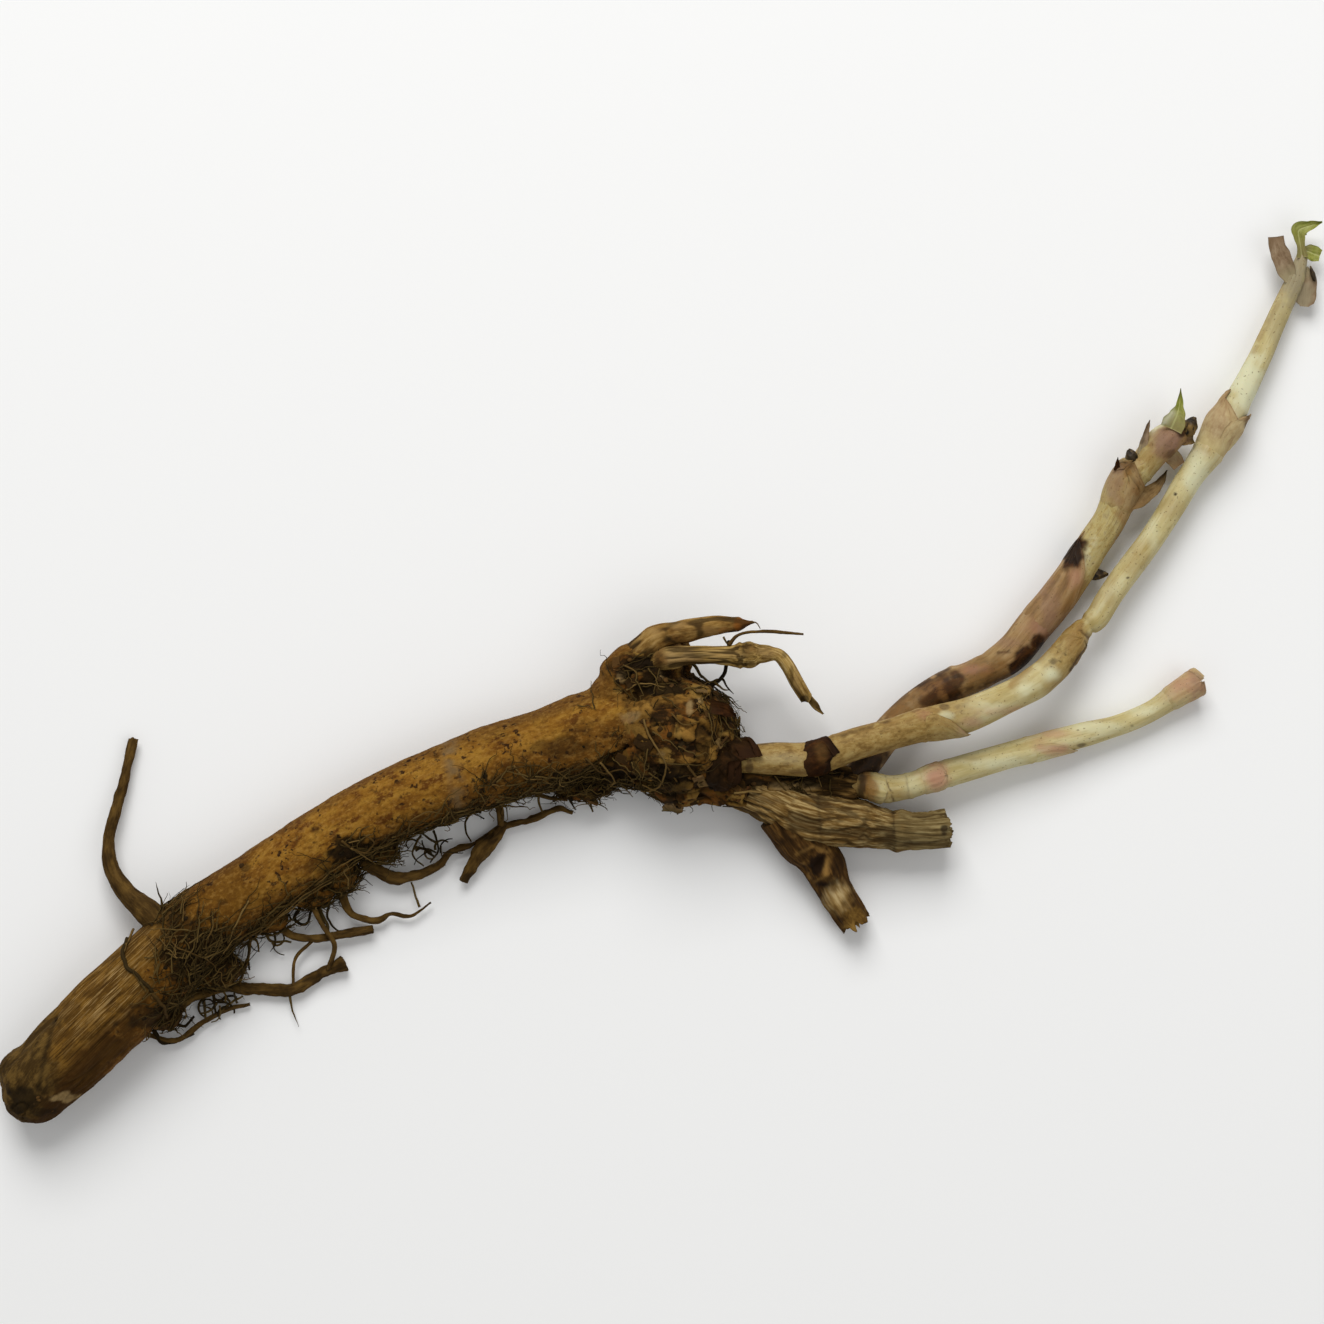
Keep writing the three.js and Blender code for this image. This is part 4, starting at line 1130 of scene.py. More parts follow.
def tube_on_bark(thickness, places, lie=0.4, taper=0.6):
    """A thin rootlet through places (x, y) on the bark, or (x, y, z) free of it."""
    heights = [place[2] if len(place) > 2 else bark_top(*place) + lie * thickness for place in places]
    count = len(places)
    path = [
        (*place[:2], z, thickness * (1 - taper * k / (count - 1)))
        for k, (place, z) in enumerate(zip(places, heights))
    ]
    stem = Stem(path)
    wave = 0.5 * thickness + 0.12
    if len(places[0]) == 2:
        tops = np.array([bark_top(*point[:2]) for point in stem.points[::8]])
        held = np.interp(np.arange(len(stem.points)), np.arange(len(tops)) * 8, tops)
        on_bark = held > 1
        lowest = held[on_bark] + lie * stem.radii[on_bark]
        stem.points[on_bark, 2] = np.maximum(stem.points[on_bark, 2], lowest)
    for axis in range(2):
        seed = 400 + axis + int(abs(places[0][0]) * 7)
        stem.points[:, axis] += wave * fractal(stem.points, 2.4, seed, 2)
    points, faces, _, _ = turned(stem, 0.45, 6, cap=2)
    return above_floor(points), faces


def add_rootlets(name, finish, lines):
    parts = [tube_on_bark(thickness, places, *more) for thickness, places, *more in lines]
    points, faces = joined(parts)
    which = np.concatenate([np.full(len(part[0]), (0.618 * k) % 1) for k, part in enumerate(parts)])
    mesh = bpy.data.meshes.new(name)
    mesh.from_pydata((points * MM).tolist(), [], faces)
    mesh.attributes.new("which", "FLOAT", "POINT").data.foreach_set("value", which.astype(np.float32))
    mesh.shade_smooth()
    settle(mesh, finish, "root_bark")


def tangle(centre, size, count, seed):
    """Short curly rootlets that fill a patch of the plan beside the log."""
    draw = np.random.default_rng(seed)
    lines = []
    for _ in range(count):
        x, y = np.array(centre) + draw.uniform(-1, 1, 2) * size
        heading, turn, height = draw.uniform(0, 2 * math.pi), draw.uniform(-0.9, 0.9), draw.uniform(1.4, 4.6)
        places = []
        for step in range(5):
            places.append((x, y, height - 0.2 * step))
            x, y = x + 1.2 * math.cos(heading), y + 1.2 * math.sin(heading)
            heading += turn
        lines.append((draw.uniform(0.16, 0.34), places, 0, 0.4))
    return lines


# %% Rootlets
add_rootlets("tangled_rootlets", hair_dark, [
    *tangle((-39, -27.4), (3.4, 2.6), 12, 51), *tangle((-86.4, -62.2), (4.4, 1.6), 12, 52),
    *tangle((-3.6, -15.6), (6, 1.2), 12, 53), *tangle((-76, -48), (5, 1.4), 8, 54),
    *tangle((-30, -20.6), (4, 1.2), 6, 55),
])
add_rootlets("dark_rootlets", hair_dark, [
    (0.45, [
        (28.6, 19.4, 17.4), (29, 16.6, 14.6), (28.2, 13.7, 13.4), (27.6, 11.5, 13), (25.7, 9.9, 12.6),
        (22.9, 8.6, 13), (20, 7.7, 13.6),
    ], 0, 0.1),
    (0.4, [
        (20.6, 14.2, 14.4), (21.6, 13, 13.6), (22.9, 11.5, 13.2), (24.8, 10.2, 13), (26.7, 10.8, 13),
    ], 0, 0.4),
    (0.3, [(27.4, 11, 13), (28.9, 8.9, 12.4), (29.9, 7.4, 12)], 0, 0.7),
    (0.3, [(25.6, 10.2, 13), (27.9, 8.3, 12.6), (28.9, 8.2, 12.2)], 0, 0.7),
    (0.32, [(24, 6, 15), (26.4, 5.8, 14.6), (30.5, 5.2, 13)], 0, 0.8),
    (0.28, [(24, 7.2, 14.6), (26.7, 6.9, 14.2), (29.9, 6.3, 13)], 0, 0.8),
    (0.28, [(23, 8.4, 14), (25.4, 8.1, 13.6), (27.4, 7.4, 13)], 0, 0.7),
    (0.3, [(21, 11.4, 13.6), (23.4, 9.6, 13.4), (24.6, 7.2, 13.6)], 0, 0.3),
    (0.25, [(27.8, 20.2, 16.6), (28.9, 18.7, 16.4), (29.6, 17, 16)], 0, 0.4),
    (0.3, [(27, 1.6, 17), (29.4, 0.4, 16), (30.6, -1.8, 15.4), (32.6, -3, 16)], 0, 0.6),
    (0.28, [(26.6, 3, 17), (28.8, 2.6, 15.6), (30, 0.6, 15), (30.8, -1.8, 15)], 0, 0.5),
    (0.26, [(27.6, -1, 16.4), (30.4, -2, 15.8), (32.4, -4, 16.6)], 0, 0.6),
    (0.5, [(-105.6, -47.2), (-106.1, -50.2), (-104.9, -53.2), (-102.3, -55.8), (-99.3, -58.8)], 0.4, 0.2),
    (0.4, [(-67.5, -40.7, 3.6), (-69.1, -43.4, 3.2), (-66.5, -44.6, 3), (-65.2, -41.8, 3.4)], 0, 0.3),
    (0.55, [(-64.3, -37.6, 4), (-63.3, -41.8, 3.6), (-61.7, -46, 3), (-62, -48, 2.6)], 0, 0.4),
    (0.35, [
        (-60.1, -37.1, 4), (-61.7, -41.2, 3.4), (-61.2, -43.9, 3), (-59.6, -46, 2.6), (-56.9, -46.6, 2.4),
    ], 0, 0.5),
    (0.3, [(-41, -41, 2), (-42, -38.1, 2.2), (-42.8, -35, 2.4)], 0, 0.3),
    (0.4, [(-49, -29.6, 4), (-50.6, -33, 3.4), (-48.6, -34.4, 3)], 0, 0.3),
    (0.45, [(-95, -62.6, 4), (-97.1, -66.8, 3), (-93.7, -67.9, 2.4), (-92, -65.6, 2.2)], 0, 0.4),
    (0.4, [(-89.8, -60.6, 3), (-89.4, -66.4, 2)], 0, 0.3),
    (0.35, [(-87.4, -60.6, 3), (-87.4, -65.7, 1.8)], 0, 0.3),
    (0.35, [(-86.4, -65, 1.8), (-84.2, -62.7, 1.8), (-81, -61, 1.8)], 0, 0.4),
    (0.3, [(-84.6, -61.4, 2), (-83.4, -64, 1.6)], 0, 0.3),
    (0.55, [(-101, -68.8, 3.6), (-99, -71.6, 2.6), (-96.3, -71.3, 2.2), (-92, -69.2, 2)], 0, 0.3),
    (0.35, [(-70.6, -60.4, 1.8), (-69.7, -64.4, 1.6), (-68.4, -68.2, 1.4)], 0, 0.85),
    (0.3, [(-97.8, -40.4), (-99.2, -37.2, 10), (-99.8, -34.8, 10)], 0.4, 0.85),
    (0.3, [(-82.4, -56.2, 3), (-80, -53.2, 3), (-79.2, -55.4, 2.4)], 0, 0.3),
    (0.28, [(-40.6, -24.6, 4), (-42.4, -29, 3.2), (-40, -31.6, 2.6)], 0, 0.4),
    (0.28, [(-37.6, -23.6, 4), (-36.6, -27.6, 3), (-38.6, -30.6, 2.4)], 0, 0.4),
    (0.35, [(-12.6, -13, 5), (-14, -17, 3), (-12.6, -20, 2.2)], 0, 0.4),
    (0.3, [(-28.6, -18.6, 4), (-30.4, -22, 3), (-29.4, -26, 2.2)], 0, 0.4),
    (0.3, [(-5, -12.8, 5), (-7, -16, 3), (-5.4, -18.8, 2.2)], 0, 0.4),
    (0.4, [(-76, -46, 4), (-74, -48.6, 3), (-70, -48.6, 3)], 0, 0.4),
    (0.3, [(-73.6, -46.6, 3.6), (-73.4, -49.6, 3), (-74.6, -51, 2.8)], 0, 0.8),
])
add_rootlets("tan_rootlets", hair_pale, [
    (0.5, [(-99.3, -58.8), (-97.7, -61.6), (-97.1, -65.4, 8)], 0.4, 0.3),
    (0.3, [(-104.7, -45.5), (-105.7, -48.1), (-106.1, -50.2)], 0.4, 0.3),
    (0.26, [(-98, -45), (-93.7, -48.9), (-87.6, -51.9), (-85.9, -54.1)], 0.8),
    (0.24, [(-78.2, -38.6), (-81.2, -44.2), (-82.5, -48.1)], 0.8),
    (0.26, [(-86.4, -40.8), (-85.9, -44.2), (-87.2, -47.2), (-87.6, -50.2)], 0.8),
    (0.24, [(-97.1, -46.8), (-92, -46.3), (-88.1, -46.8)], 0.8),
    (0.22, [(-81.6, -50.2), (-74.7, -45), (-67.5, -38.6), (-60.6, -34.4), (-54, -30)], 0.6),
    (0.22, [(-80, -48), (-74, -43.6), (-67.2, -37.4), (-61, -32.6)], 0.6),
    (0.22, [(-72.8, -43.4), (-66.6, -38.8), (-60, -34.6), (-56.4, -31.6)], 0.6),
    (0.2, [(-64, -35.6), (-58, -31), (-51, -27.8), (-45.2, -25)], 0.6),
    (0.3, [
        (-57.4, -25.3), (-55.3, -26.9), (-52.7, -28), (-51.1, -26.9), (-50.5, -25.3), (-52.7, -23.7),
    ], 0.8, 0.4),
    (0.26, [(-55.6, -26.6), (-53, -28.6), (-50.6, -31)], 0.8),
    (0.24, [(-43.1, -23.7), (-41.5, -20.5), (-38.3, -19), (-34.6, -19.2)], 0.8),
    (0.24, [(-24, -12.6), (-20, -9.4), (-14, -8.6), (-9, -10), (-5.6, -8.4)], 0.8),
    (0.26, [
        (9.9, 2), (11.2, -1.8), (13.1, -5.2), (14.7, -7.5), (14.4, -11.3), (12.4, -13.8), (9.6, -12.8),
    ], 0.8, 0.3),
    (0.3, [(19.7, -8.4), (20.8, -9.8), (22, -11.3)], 0.8, 0.2),
    (0.24, [(6.1, 8.3), (8.7, 9.8), (14.6, 9)], 0.8), (0.22, [(5.4, 14), (8, 12.4), (8.6, 10)], 0.8),
    (0.24, [(-3, -7), (1.4, -10.4), (5, -9.4), (8, -12.6)], 0.8),
    (0.24, [(0, -7.6), (3.4, -12), (1.6, -14)], 0.8), (0.22, [(16, 3), (18.8, 0.6), (21.6, 1.4)], 0.8),
    (0.26, [(30, -14.6), (37, -14.4), (44, -15.4), (52, -15.8)], 0.8),
    (0.24, [(-19, -8.4), (-16.6, -11.4), (-13, -11.6), (-10.4, -13)], 0.8),
    (0.2, [(32.6, 23.3, 15.6), (34.9, 23.3, 16), (35.8, 21.8, 16.8)], 0, 0.5),
])

# %% [markdown]
# ## Marks on the skin
# Stains, blushes and scabs sit at certain places on a stem. Each is given as a strength with either
# the middle and half sizes of a patch, or the two ends and the width of a line, seen from above.
# `marked` turns such lists into attributes, one for each kind of mark, that the finishes read.

# %% Marks and stems
SOFT_MARKS = {"tan": 0.7, "pale": 0.75, "blush": 0.9, "grey": 0.5, "gold": 0.5, "brown": 0.8, "mauve": 0.6}


def marked(points, marks, tone=()):
    """Attributes for the marks. A patch is (strength, x, y, half width, half height), and a line is
    (strength, x, y, x, y, width). tone is a table of (x, share) for the olive tone along a shoot."""
    layers = {}
    for kind, places in marks.items():
        layer = np.zeros(len(points))
        for strength, x, y, a, b, *width in places:
            if width:
                edge = fractal(points, 1.6, 62, 3)
                shaken = points + (0.3 + 0.3 * width[0]) * edge[:, None]
                mark = line_mark(shaken, (x, y), (a, b), width[0]) * smooth(-0.6, -0.1, edge)
            else:
                mark = spot(points, (x, y), (a, b), SOFT_MARKS.get(kind, 0.3), 0.42)
            layer = np.maximum(layer, strength * mark)
        layers[kind] = layer
    if tone:
        layers["olive"] = np.interp(points[:, 0] + 1.2 * fractal(points, 3, 63, 3), *zip(*tone))
    return layers


def add_stem(node, slot, finish, path, step, sides, relief, ragged, seed, marks=None, tone=()):
    """A finished round piece for one CAD node; step and sides say how fine its skin is."""
    stem = Stem(path)
    points, faces, straight, pushed = turned(stem, step, sides, relief, ragged=ragged, seed=seed)
    points = above_floor(points)
    attributes = {"straight": straight, "height": pushed, **marked(points, marks or {}, tone)}
    mesh = new_mesh(f"{node}_skin", points, faces, attributes)
    settle(mesh, finish, slot, [node])
    return stem


def strings(size, deep, seed, wander=1.2):
    """Relief of torn fibres: grooves along the grain that wander sideways. Size is (along, across)."""
    def relief(straight):
        swerve = wander * fractal(straight, (2.2 * size[0], 6, 6), seed + 5, 2)
        q = straight + np.stack([np.zeros_like(swerve), swerve, -swerve], -1)
        broad = fractal(q, (size[0], size[1], size[1]), seed, 3, 0.55)
        cut = 1 - smooth(0, 0.24, np.abs(noise(q / (1.2 * size[0], 1.1 * size[1], 1.1 * size[1]), seed + 9)))
        return deep * (0.8 * broad - 0.9 * cut)
    return relief


# %% [markdown]
# ## Last year's stems
# The old stem stub has lost its skin, and its bast fibres stand up as wandering ridges with dark
# grooves between them. The lower stub still has its bark, with an oval scar where a bud broke away.
# The two dry stems are hollow straw with fine lengthwise lines. Grooves that show in profile have to
# be real, so they are pushed into the mesh, and the finishes paint shade into them by their depth.

# %% Finishes of the old stems
def old_fibre_finish():
    p = Paint("old_fibre_finish", 0.85, 0.08)
    fine = p.noise((9, 0.6), 4, 0.65)
    patch = p.noise((12, 4), 3, 0.6)
    high = p.ramp(fine, [(0.32, (80, 56, 22)), (0.48, (114, 87, 44)), (0.62, (162, 138, 90))])
    colour = p.over(0.6, p.between(patch, 0.48, 0.64), high, (84, 58, 26))
    grey = p.ramp(fine, [(0.34, (78, 64, 36)), (0.5, (106, 90, 56)), (0.66, (138, 124, 84))])
    colour = p.over(1, "grey", colour, grey)
    # Painted shade in the grooves, by their depth.
    colour = p.over(0.66, p.between(p.mask("height"), 0.0, -0.42), colour, (50, 34, 14))
    colour = p.over(1, "dark", colour, (30, 20, 11))
    return p.finish(colour, fine, 0.7, 0.3)


def dark_bark_finish():
    p = Paint("dark_bark_finish", 0.8, 0.06)
    fine = p.noise((5, 0.6), 4, 0.65)
    blotch = p.noise(2.6, 4, 0.6)
    colour = p.ramp(fine, [(0.32, (42, 27, 10)), (0.5, (68, 45, 18)), (0.68, (100, 71, 33))])
    # Painted shade in the grooves, by their depth.
    colour = p.over(0.8, p.between(p.mask("height"), 0.0, -0.55), colour, (24, 15, 7))
    colour = p.over(1, "gold", colour, p.mix(blotch, (112, 78, 34), (164, 128, 70)))
    colour = p.over(1, "dark", colour, (30, 18, 8))
    beige = p.ramp(p.noise((6, 1.2), 3, 0.6), [
        (0.35, (112, 84, 42)), (0.5, (146, 118, 70)), (0.66, (180, 156, 110)),
    ])
    colour = p.over(1, "pale", colour, beige)
    torn = p.ramp(blotch, [(0.35, (44, 28, 10)), (0.52, (94, 68, 28)), (0.68, (140, 108, 52))])
    colour = p.over(1, "torn", colour, torn)
    return p.finish(colour, fine, 0.6, 0.3)


def straw_finish(name, tones, line_size):
    p = Paint(name, 0.8, 0.06)
    line = p.noise(line_size, 4, 0.65)
    blotch = p.noise(3, 5, 0.68)
    colour = p.ramp(line, zip((0.34, 0.46, 0.58, 0.7), tones))
    colour = p.over(0.5, p.between(blotch, 0.48, 0.64), colour, (84, 56, 22))
    colour = p.over(1, "pale", colour, p.mix(blotch, (128, 98, 52), (174, 146, 98)))
    colour = p.over(1, "brown", colour, p.mix(p.between(blotch, 0.4, 0.6), (62, 40, 16), (110, 76, 34)))
    colour = p.over(1, "rust", colour, p.mix(blotch, (104, 58, 18), (160, 96, 34)))
    # Painted shade in the grooves, by their depth.
    colour = p.over(0.8, p.between(p.mask("height"), 0.0, -0.2), colour, (50, 35, 14))
    colour = p.over(1, "dark", colour, (36, 25, 12))
    return p.finish(colour, line, 0.8, 0.3)


old_fibre = old_fibre_finish()
dark_bark = dark_bark_finish()
straw = straw_finish("straw_finish", [
    (76, 56, 26), (136, 107, 54), (168, 138, 78), (194, 168, 114),
], (9, 0.4))
peeled = straw_finish("peeled_finish", [
    (88, 60, 25), (122, 90, 42), (148, 116, 62), (166, 134, 82),
], (4, 0.9))


# %% Old stem stub
def old_stub_relief(straight):
    s = straight[..., 0]
    knot = 0.5 * np.exp(-((s - 20) / 1.1) ** 2) + 0.6 * np.exp(-((s - 36.5) / 0.9) ** 2)
    flat_end = smooth(30, 40, s)
    fibres = strings((9, 1.75), 0.6, 70)(straight) * (1 - 0.45 * flat_end)
    fibres = fibres + strings((3, 0.6), 0.16, 73)(straight)
    return fibres - 0.4 * knot + 0.5 * np.exp(-((s - 38.5) / 1.6) ** 2)


add_stem("old_bine_stub", "old_fibre", old_fibre, OLD_BINE_STUB, 0.32, 130, old_stub_relief, 1.0, 71, {
    "grey": [(0.8, 74, -23, 11, 8)],
    "dark": [
        (0.8, 77.2, -23.2, 0.9, 1.3), (0.35, 49, -14, 49.6, -27, 0.5), (0.5, 65.8, -18, 66.2, -28, 0.35),
    ],
})

# %% Lower stub
def lower_stub_relief(straight):
    s, across, up = straight[..., 0], straight[..., 1], straight[..., 2]
    pit = np.hypot((s - 14.2) / 1.2, across + 0.1)
    near = smooth(4.6, 2.4, pit) * smooth(0, 2, up)
    scar = 0.35 * np.exp(-((pit - 2.3) / 0.5) ** 2) - 0.7 * smooth(2, 0.6, pit)
    scar = scar + 0.25 * fractal(straight, 1.5, 78)
    return near * scar + (1 - 0.8 * near) * strings((7, 1.5), 0.26, 75)(straight)


add_stem("lower_stub", "dark_bark", dark_bark, LOWER_STUB, 0.3, 110, lower_stub_relief, 1.5, 76, {
    "gold": [
        (0.5, 44.3, -28.4, 47.7, -26.7, 0.4), (0.6, 47.7, -26.7, 51.6, -27.9, 0.4),
        (0.8, 51.3, -29.6, 50.9, -33.4, 0.7), (0.4, 50.5, -33.6, 48.4, -34.8, 0.4),
        (0.4, 43.4, -24.6, 47, -25, 0.5), (0.5, 45.6, -30.6, 47.4, -34, 0.35),
    ],
    "dark": [
        (1, 49, -30.6, 1.9, 2), (1, 49.6, -35.6, 54.2, -34.6, 1.1), (0.6, 53.4, -30.6, 1.2, 3),
        (0.4, 45.6, -28, 1, 1.4), (0.6, 56.6, -37, 57.6, -41, 0.6),
    ],
    "pale": [(1, 53.6, -38.8, 2.5, 2.9), (0.8, 55.4, -36.8, 1.3, 1.3)],
    "torn": [(1, 58, -43.6, 3.2, 2.6)],
})

# %% Dry stems
straw_lines = strings((10, 1.0), 0.3, 80, 0.4)


def peeled_relief(straight):
    s, across = straight[..., 0], straight[..., 1]
    hollow = np.exp(-((s - 17.6) / 1.7) ** 2 - ((across - 0.8) / 1.2) ** 2)
    knob = np.exp(-((s - 14.4) / 1.4) ** 2) + 0.4 * np.exp(-((s - 21.6) / 1.6) ** 2)
    return strings((8, 2.6), 0.26, 82)(straight) - 0.3 * hollow + 0.35 * knob


add_stem("peeled_stub", "dry_stem", peeled, PEELED_STUB, 0.3, 60, peeled_relief, 0.7, 83, {
    "dark": [
        (0.7, 14.8, 21.6, 15.8, 19.2, 0.4), (0.7, 15.8, 19.2, 20, 18.7, 0.4),
        (0.6, 21.4, 23.4, 21.8, 20.8, 0.35), (0.4, 17.4, 21.4, 19.4, 21, 0.3),
        (0.6, 29.6, 20.6, 30, 23.6, 0.3), (0.5, 12.6, 24, 30, 25.6, 0.3), (0.5, 7, 13, 1.8, 1.6),
        (0.5, 10.4, 16.6, 1.6, 1.2), (0.5, 3.6, 13, 9, 19.4, 0.5), (0.4, 6, 11, 1.4, 2),
    ],
    "pale": [(0.6, 12.6, 21.2, 1.8, 1.2), (0.45, 17.5, 22.8, 3, 0.9), (0.35, 24, 21.4, 4, 1)],
    "rust": [(0.9, 32.2, 23, 1.9, 1.8), (0.3, 28, 21.4, 2, 0.8)],
    "brown": [(1, 6, 13.6, 5.4, 4.8), (0.6, 16.6, 19.6, 2.6, 1.3), (0.5, 23, 21.6, 4, 0.9)],
})


def bine_relief(straight):
    s = straight[..., 0]
    knot = np.exp(-((s - 21) / 0.9) ** 2)
    ridges = smooth(4, 7, s) * (1 - 0.5 * smooth(20, 22, s))
    return ridges * straw_lines(straight) + knot * 0.7 * fractal(straight, 1.1, 84)


add_stem("dry_bine", "dry_stem", straw, DRY_BINE, 0.28, 56, bine_relief, 0.8, 85, {
    "pale": [
        (0.9, 18, 15.8, 4, 1.8), (0.5, 25, 16.4, 8, 0.9), (0.5, 37.4, 16.8, 3, 0.9), (0.4, 44, 11, 0.8, 4),
    ],
    "brown": [(0.9, 13.4, 14.6, 1.3, 2.6), (0.7, 33.4, 17.4, 1.4, 1.2), (0.4, 22, 14.6, 6, 0.6)],
    "dark": [
        (0.7, 32.4, 19, 34.6, 17.8, 0.4), (0.6, 32.2, 18, 32.6, 13.4, 0.35), (0.5, 33.6, 14.4, 1.2, 0.6),
        (0.5, 41.4, 16.2, 0.6, 1), (0.8, 45.8, 6.2, 0.9, 1), (0.4, 43, 11.4, 0.5, 2.2),
    ],
})
add_stem("dry_bine_tip", "dry_stem", straw, DRY_BINE_TIP, 0.2, 24, straw_lines, 0.3, 86)

# %% [markdown]
# ## Spring shoots
# The blanched shoots grew underground, so they are cream, fleshy and a little translucent. Where
# scale leaves sat, the stem has a ring. Each shoot is one smooth round with faint flutes and rings,
# and its stains, blushes and painted highlights are marks. The finish lets some light below the
# skin, which softens the shading as flesh does.

# %% Shoot finish
THIRDS = (0.34, 0.5, 0.66)  # where noise passes from one tone of three to the next


def stained(p, colour, line, blotch):
    """Paints the marks of a shoot over its colour, each between two tones of its own."""
    # The pale mark lays a near-white cream: on the shoots it is a painted highlight.
    colour = p.over(1, "pale", colour, (208, 206, 170))
    sharp = p.between(blotch, 0.4, 0.62)
    for mark, share, pattern, low_tone, high_tone in (
        ("tan", 0.85, line, (112, 80, 36), (158, 124, 68)),
        ("gold", 1, line, (96, 62, 22), (150, 110, 54)),
        ("brown", 1, sharp, (112, 76, 38), (62, 37, 17)),
        ("grey", 1, line, (122, 110, 82), (166, 154, 126)),
        ("blush", 1, blotch, (160, 107, 85), (190, 141, 115)),
        ("mauve", 1, blotch, (116, 84, 68), (152, 120, 98)),
        ("stain", 1, sharp, (36, 19, 6), (72, 42, 16)),
        ("dark", 1, blotch, (22, 15, 10), (46, 32, 18)),
    ):
        colour = p.over(share, mark, colour, p.mix(pattern, low_tone, high_tone))
    return colour


def shoot_finish(name, tones, olive_tones, line_colour):
    p = Paint(name, 0.55, 0.14)
    long_tone = p.noise((12, 2.2), 4, 0.6)
    line = p.noise((9, 0.35), 4, 0.65)
    blotch = p.noise((2.6, 1.4), 5, 0.68)
    colour = p.ramp(long_tone, zip(THIRDS, tones))
    olive = p.ramp(blotch, zip(THIRDS, olive_tones))
    colour = p.over(1, "olive", colour, olive)
    colour = p.over(0.45, p.between(line, 0.54, 0.7), colour, line_colour)
    colour = p.over(0.4, p.between(blotch, 0.54, 0.7), colour, line_colour)
    colour = stained(p, colour, line, blotch)
    speck = p.between(p.noise(0.55, 1, 0.4), 0.68, 0.73)
    colour = p.over(0.6, speck, colour, (92, 68, 30))
    p.soften(0.1)
    return p.finish(colour, p.plus(line, p.times(blotch, 0.6)), 0.45, 0.12)


def flutes(seed, rings, deep=0.07):
    """Relief of a fleshy stem: faint flutes along it and rings given as (distance along, height, width)."""
    def relief(straight):
        swells = 0.12 * fractal(straight, (9, 5, 5), seed + 1, 2)
        total = deep * fractal(straight, (14, 1.2, 1.2), seed, 2) + swells
        for place, height, width in rings:
            slant = straight[..., 0] - place + 0.5 * noise(straight / 2.5, seed + 2)
            total = total + height * np.exp(-(slant / width) ** 2)
        return total
    return relief


cream = shoot_finish("cream_finish", [(178, 162, 106), (196, 183, 132), (206, 198, 154)],
                     [(112, 84, 38), (144, 116, 62), (166, 142, 88)], (152, 130, 74))
brown_pink = shoot_finish("brown_pink_finish", [(104, 70, 38), (142, 108, 68), (162, 132, 94)],
                          [(146, 120, 66), (172, 154, 98), (188, 174, 122)], (92, 60, 30))

front_line, scaly_line, short_line = Stem(FRONT_SHOOT), Stem(SCALY_SHOOT), Stem(SHORT_SHOOT)


def rings_at(stem, *places):
    """Rings at places in the plan, each (x, y, height, width)."""
    return [(stem.nearest(x, y), height, width) for x, y, height, width in places]


# %% Front shoot
FRONT_TONE = [
    (28, 1), (60, 1), (73, 1), (80, 0.8), (86, 0.3), (98, 0.2), (102, 0.8), (108, 1), (109.6, 0.3),
    (118, 0.1), (135, 0.05), (139, 0.35), (144, 0.1),
]
add_stem("front_shoot", "cream_shoot", cream, FRONT_SHOOT, 0.33, 64, flutes(90, rings_at(
    front_line, (72, 0.5, 0.22, 0.7), (53.5, -5, 0.15, 0.6), (97.4, 10.2, 0.2, 2),
    (109.6, 22.8, -0.5, 0.6), (107.4, 20.4, 0.3, 1.6), (137, 62, 0.2, 0.8),
)), 0.2, 91, {
    "tan": [
        (0.7, 34, -3.6, 66, 1.4, 0.9), (0.5, 36, -10.2, 52, -10.2, 0.6), (0.8, 92, 9.6, 103, 20, 1.1),
        (0.7, 107, 20, 2.6, 3.2), (0.35, 121, 38, 3.2, 4), (0.35, 128, 49.5, 2.6, 2.6),
        (0.3, 114.5, 31, 1.6, 4), (0.4, 66, 0.4, 78, 5, 0.5), (0.55, 147.6, 84.6, 155.4, 101.6, 0.6),
        (0.7, 52, -10.6, 66, -5.2, 0.9), (0.5, 57, -1, 67, 1.4, 0.6), (0.4, 110, 25, 112.4, 30, 0.7),
    ],
    "blush": [(0.4, 83.4, 1, 2, 1), (0.4, 93, 3.6, 7, 1), (0.3, 72.3, 3, 1.6, 1), (0.3, 140.5, 66, 5, 4)],
    "grey": [
        (0.9, 156.4, 101.4, 3.4, 6), (0.35, 152.6, 90, 2.2, 7), (0.8, 158.4, 105, 3, 4),
        (0.5, 148.6, 76, 157.6, 96, 0.4),
    ],
    # These pale patches are painted highlights along the top of the shoot.
    "pale": [
        (0.8, 100.8, 11.8, 1.8, 1.4), (0.7, 95, 8.6, 2.4, 1.4), (0.55, 77.2, 2.6, 1.4, 0.9),
        (0.4, 87, 4.6, 3, 1), (0.8, 134, 57, 2.2, 5), (0.95, 145.4, 77, 3.4, 7), (0.4, 124.6, 43.5, 1.2, 4.6),
        (0.15, 42, -7, 5, 1),
    ],
    "stain": [
        (0.9, 105.6, 12.8, 109.4, 18.6, 0.5), (0.5, 101.4, 14.8, 1, 0.7), (0.8, 108, 21.6, 110, 20, 0.5),
        (0.6, 33, -3.8, 46, -3.2, 0.35), (0.55, 54.2, -1.7, 64.5, 1.4, 0.4), (0.6, 77, 4.6, 1.1, 0.7),
        (0.4, 45.4, -9.8, 3, 0.6), (0.3, 60, -5.8, 70, -2.8, 0.25), (0.6, 33.4, -8.8, 0.7, 1.6),
        (0.35, 50, -9.8, 60, -6.6, 0.35),
    ],
    "dark": [
        (0.9, 118.7, 33.5, 0.55, 0.35), (0.9, 129.5, 52.4, 0.35, 0.35), (0.7, 104.4, 16.4, 0.3, 0.3),
        (0.6, 103, 14.8, 0.25, 0.25), (0.6, 101, 13.6, 0.25, 0.25), (0.5, 105.2, 18.4, 0.25, 0.25),
    ],
}, FRONT_TONE)

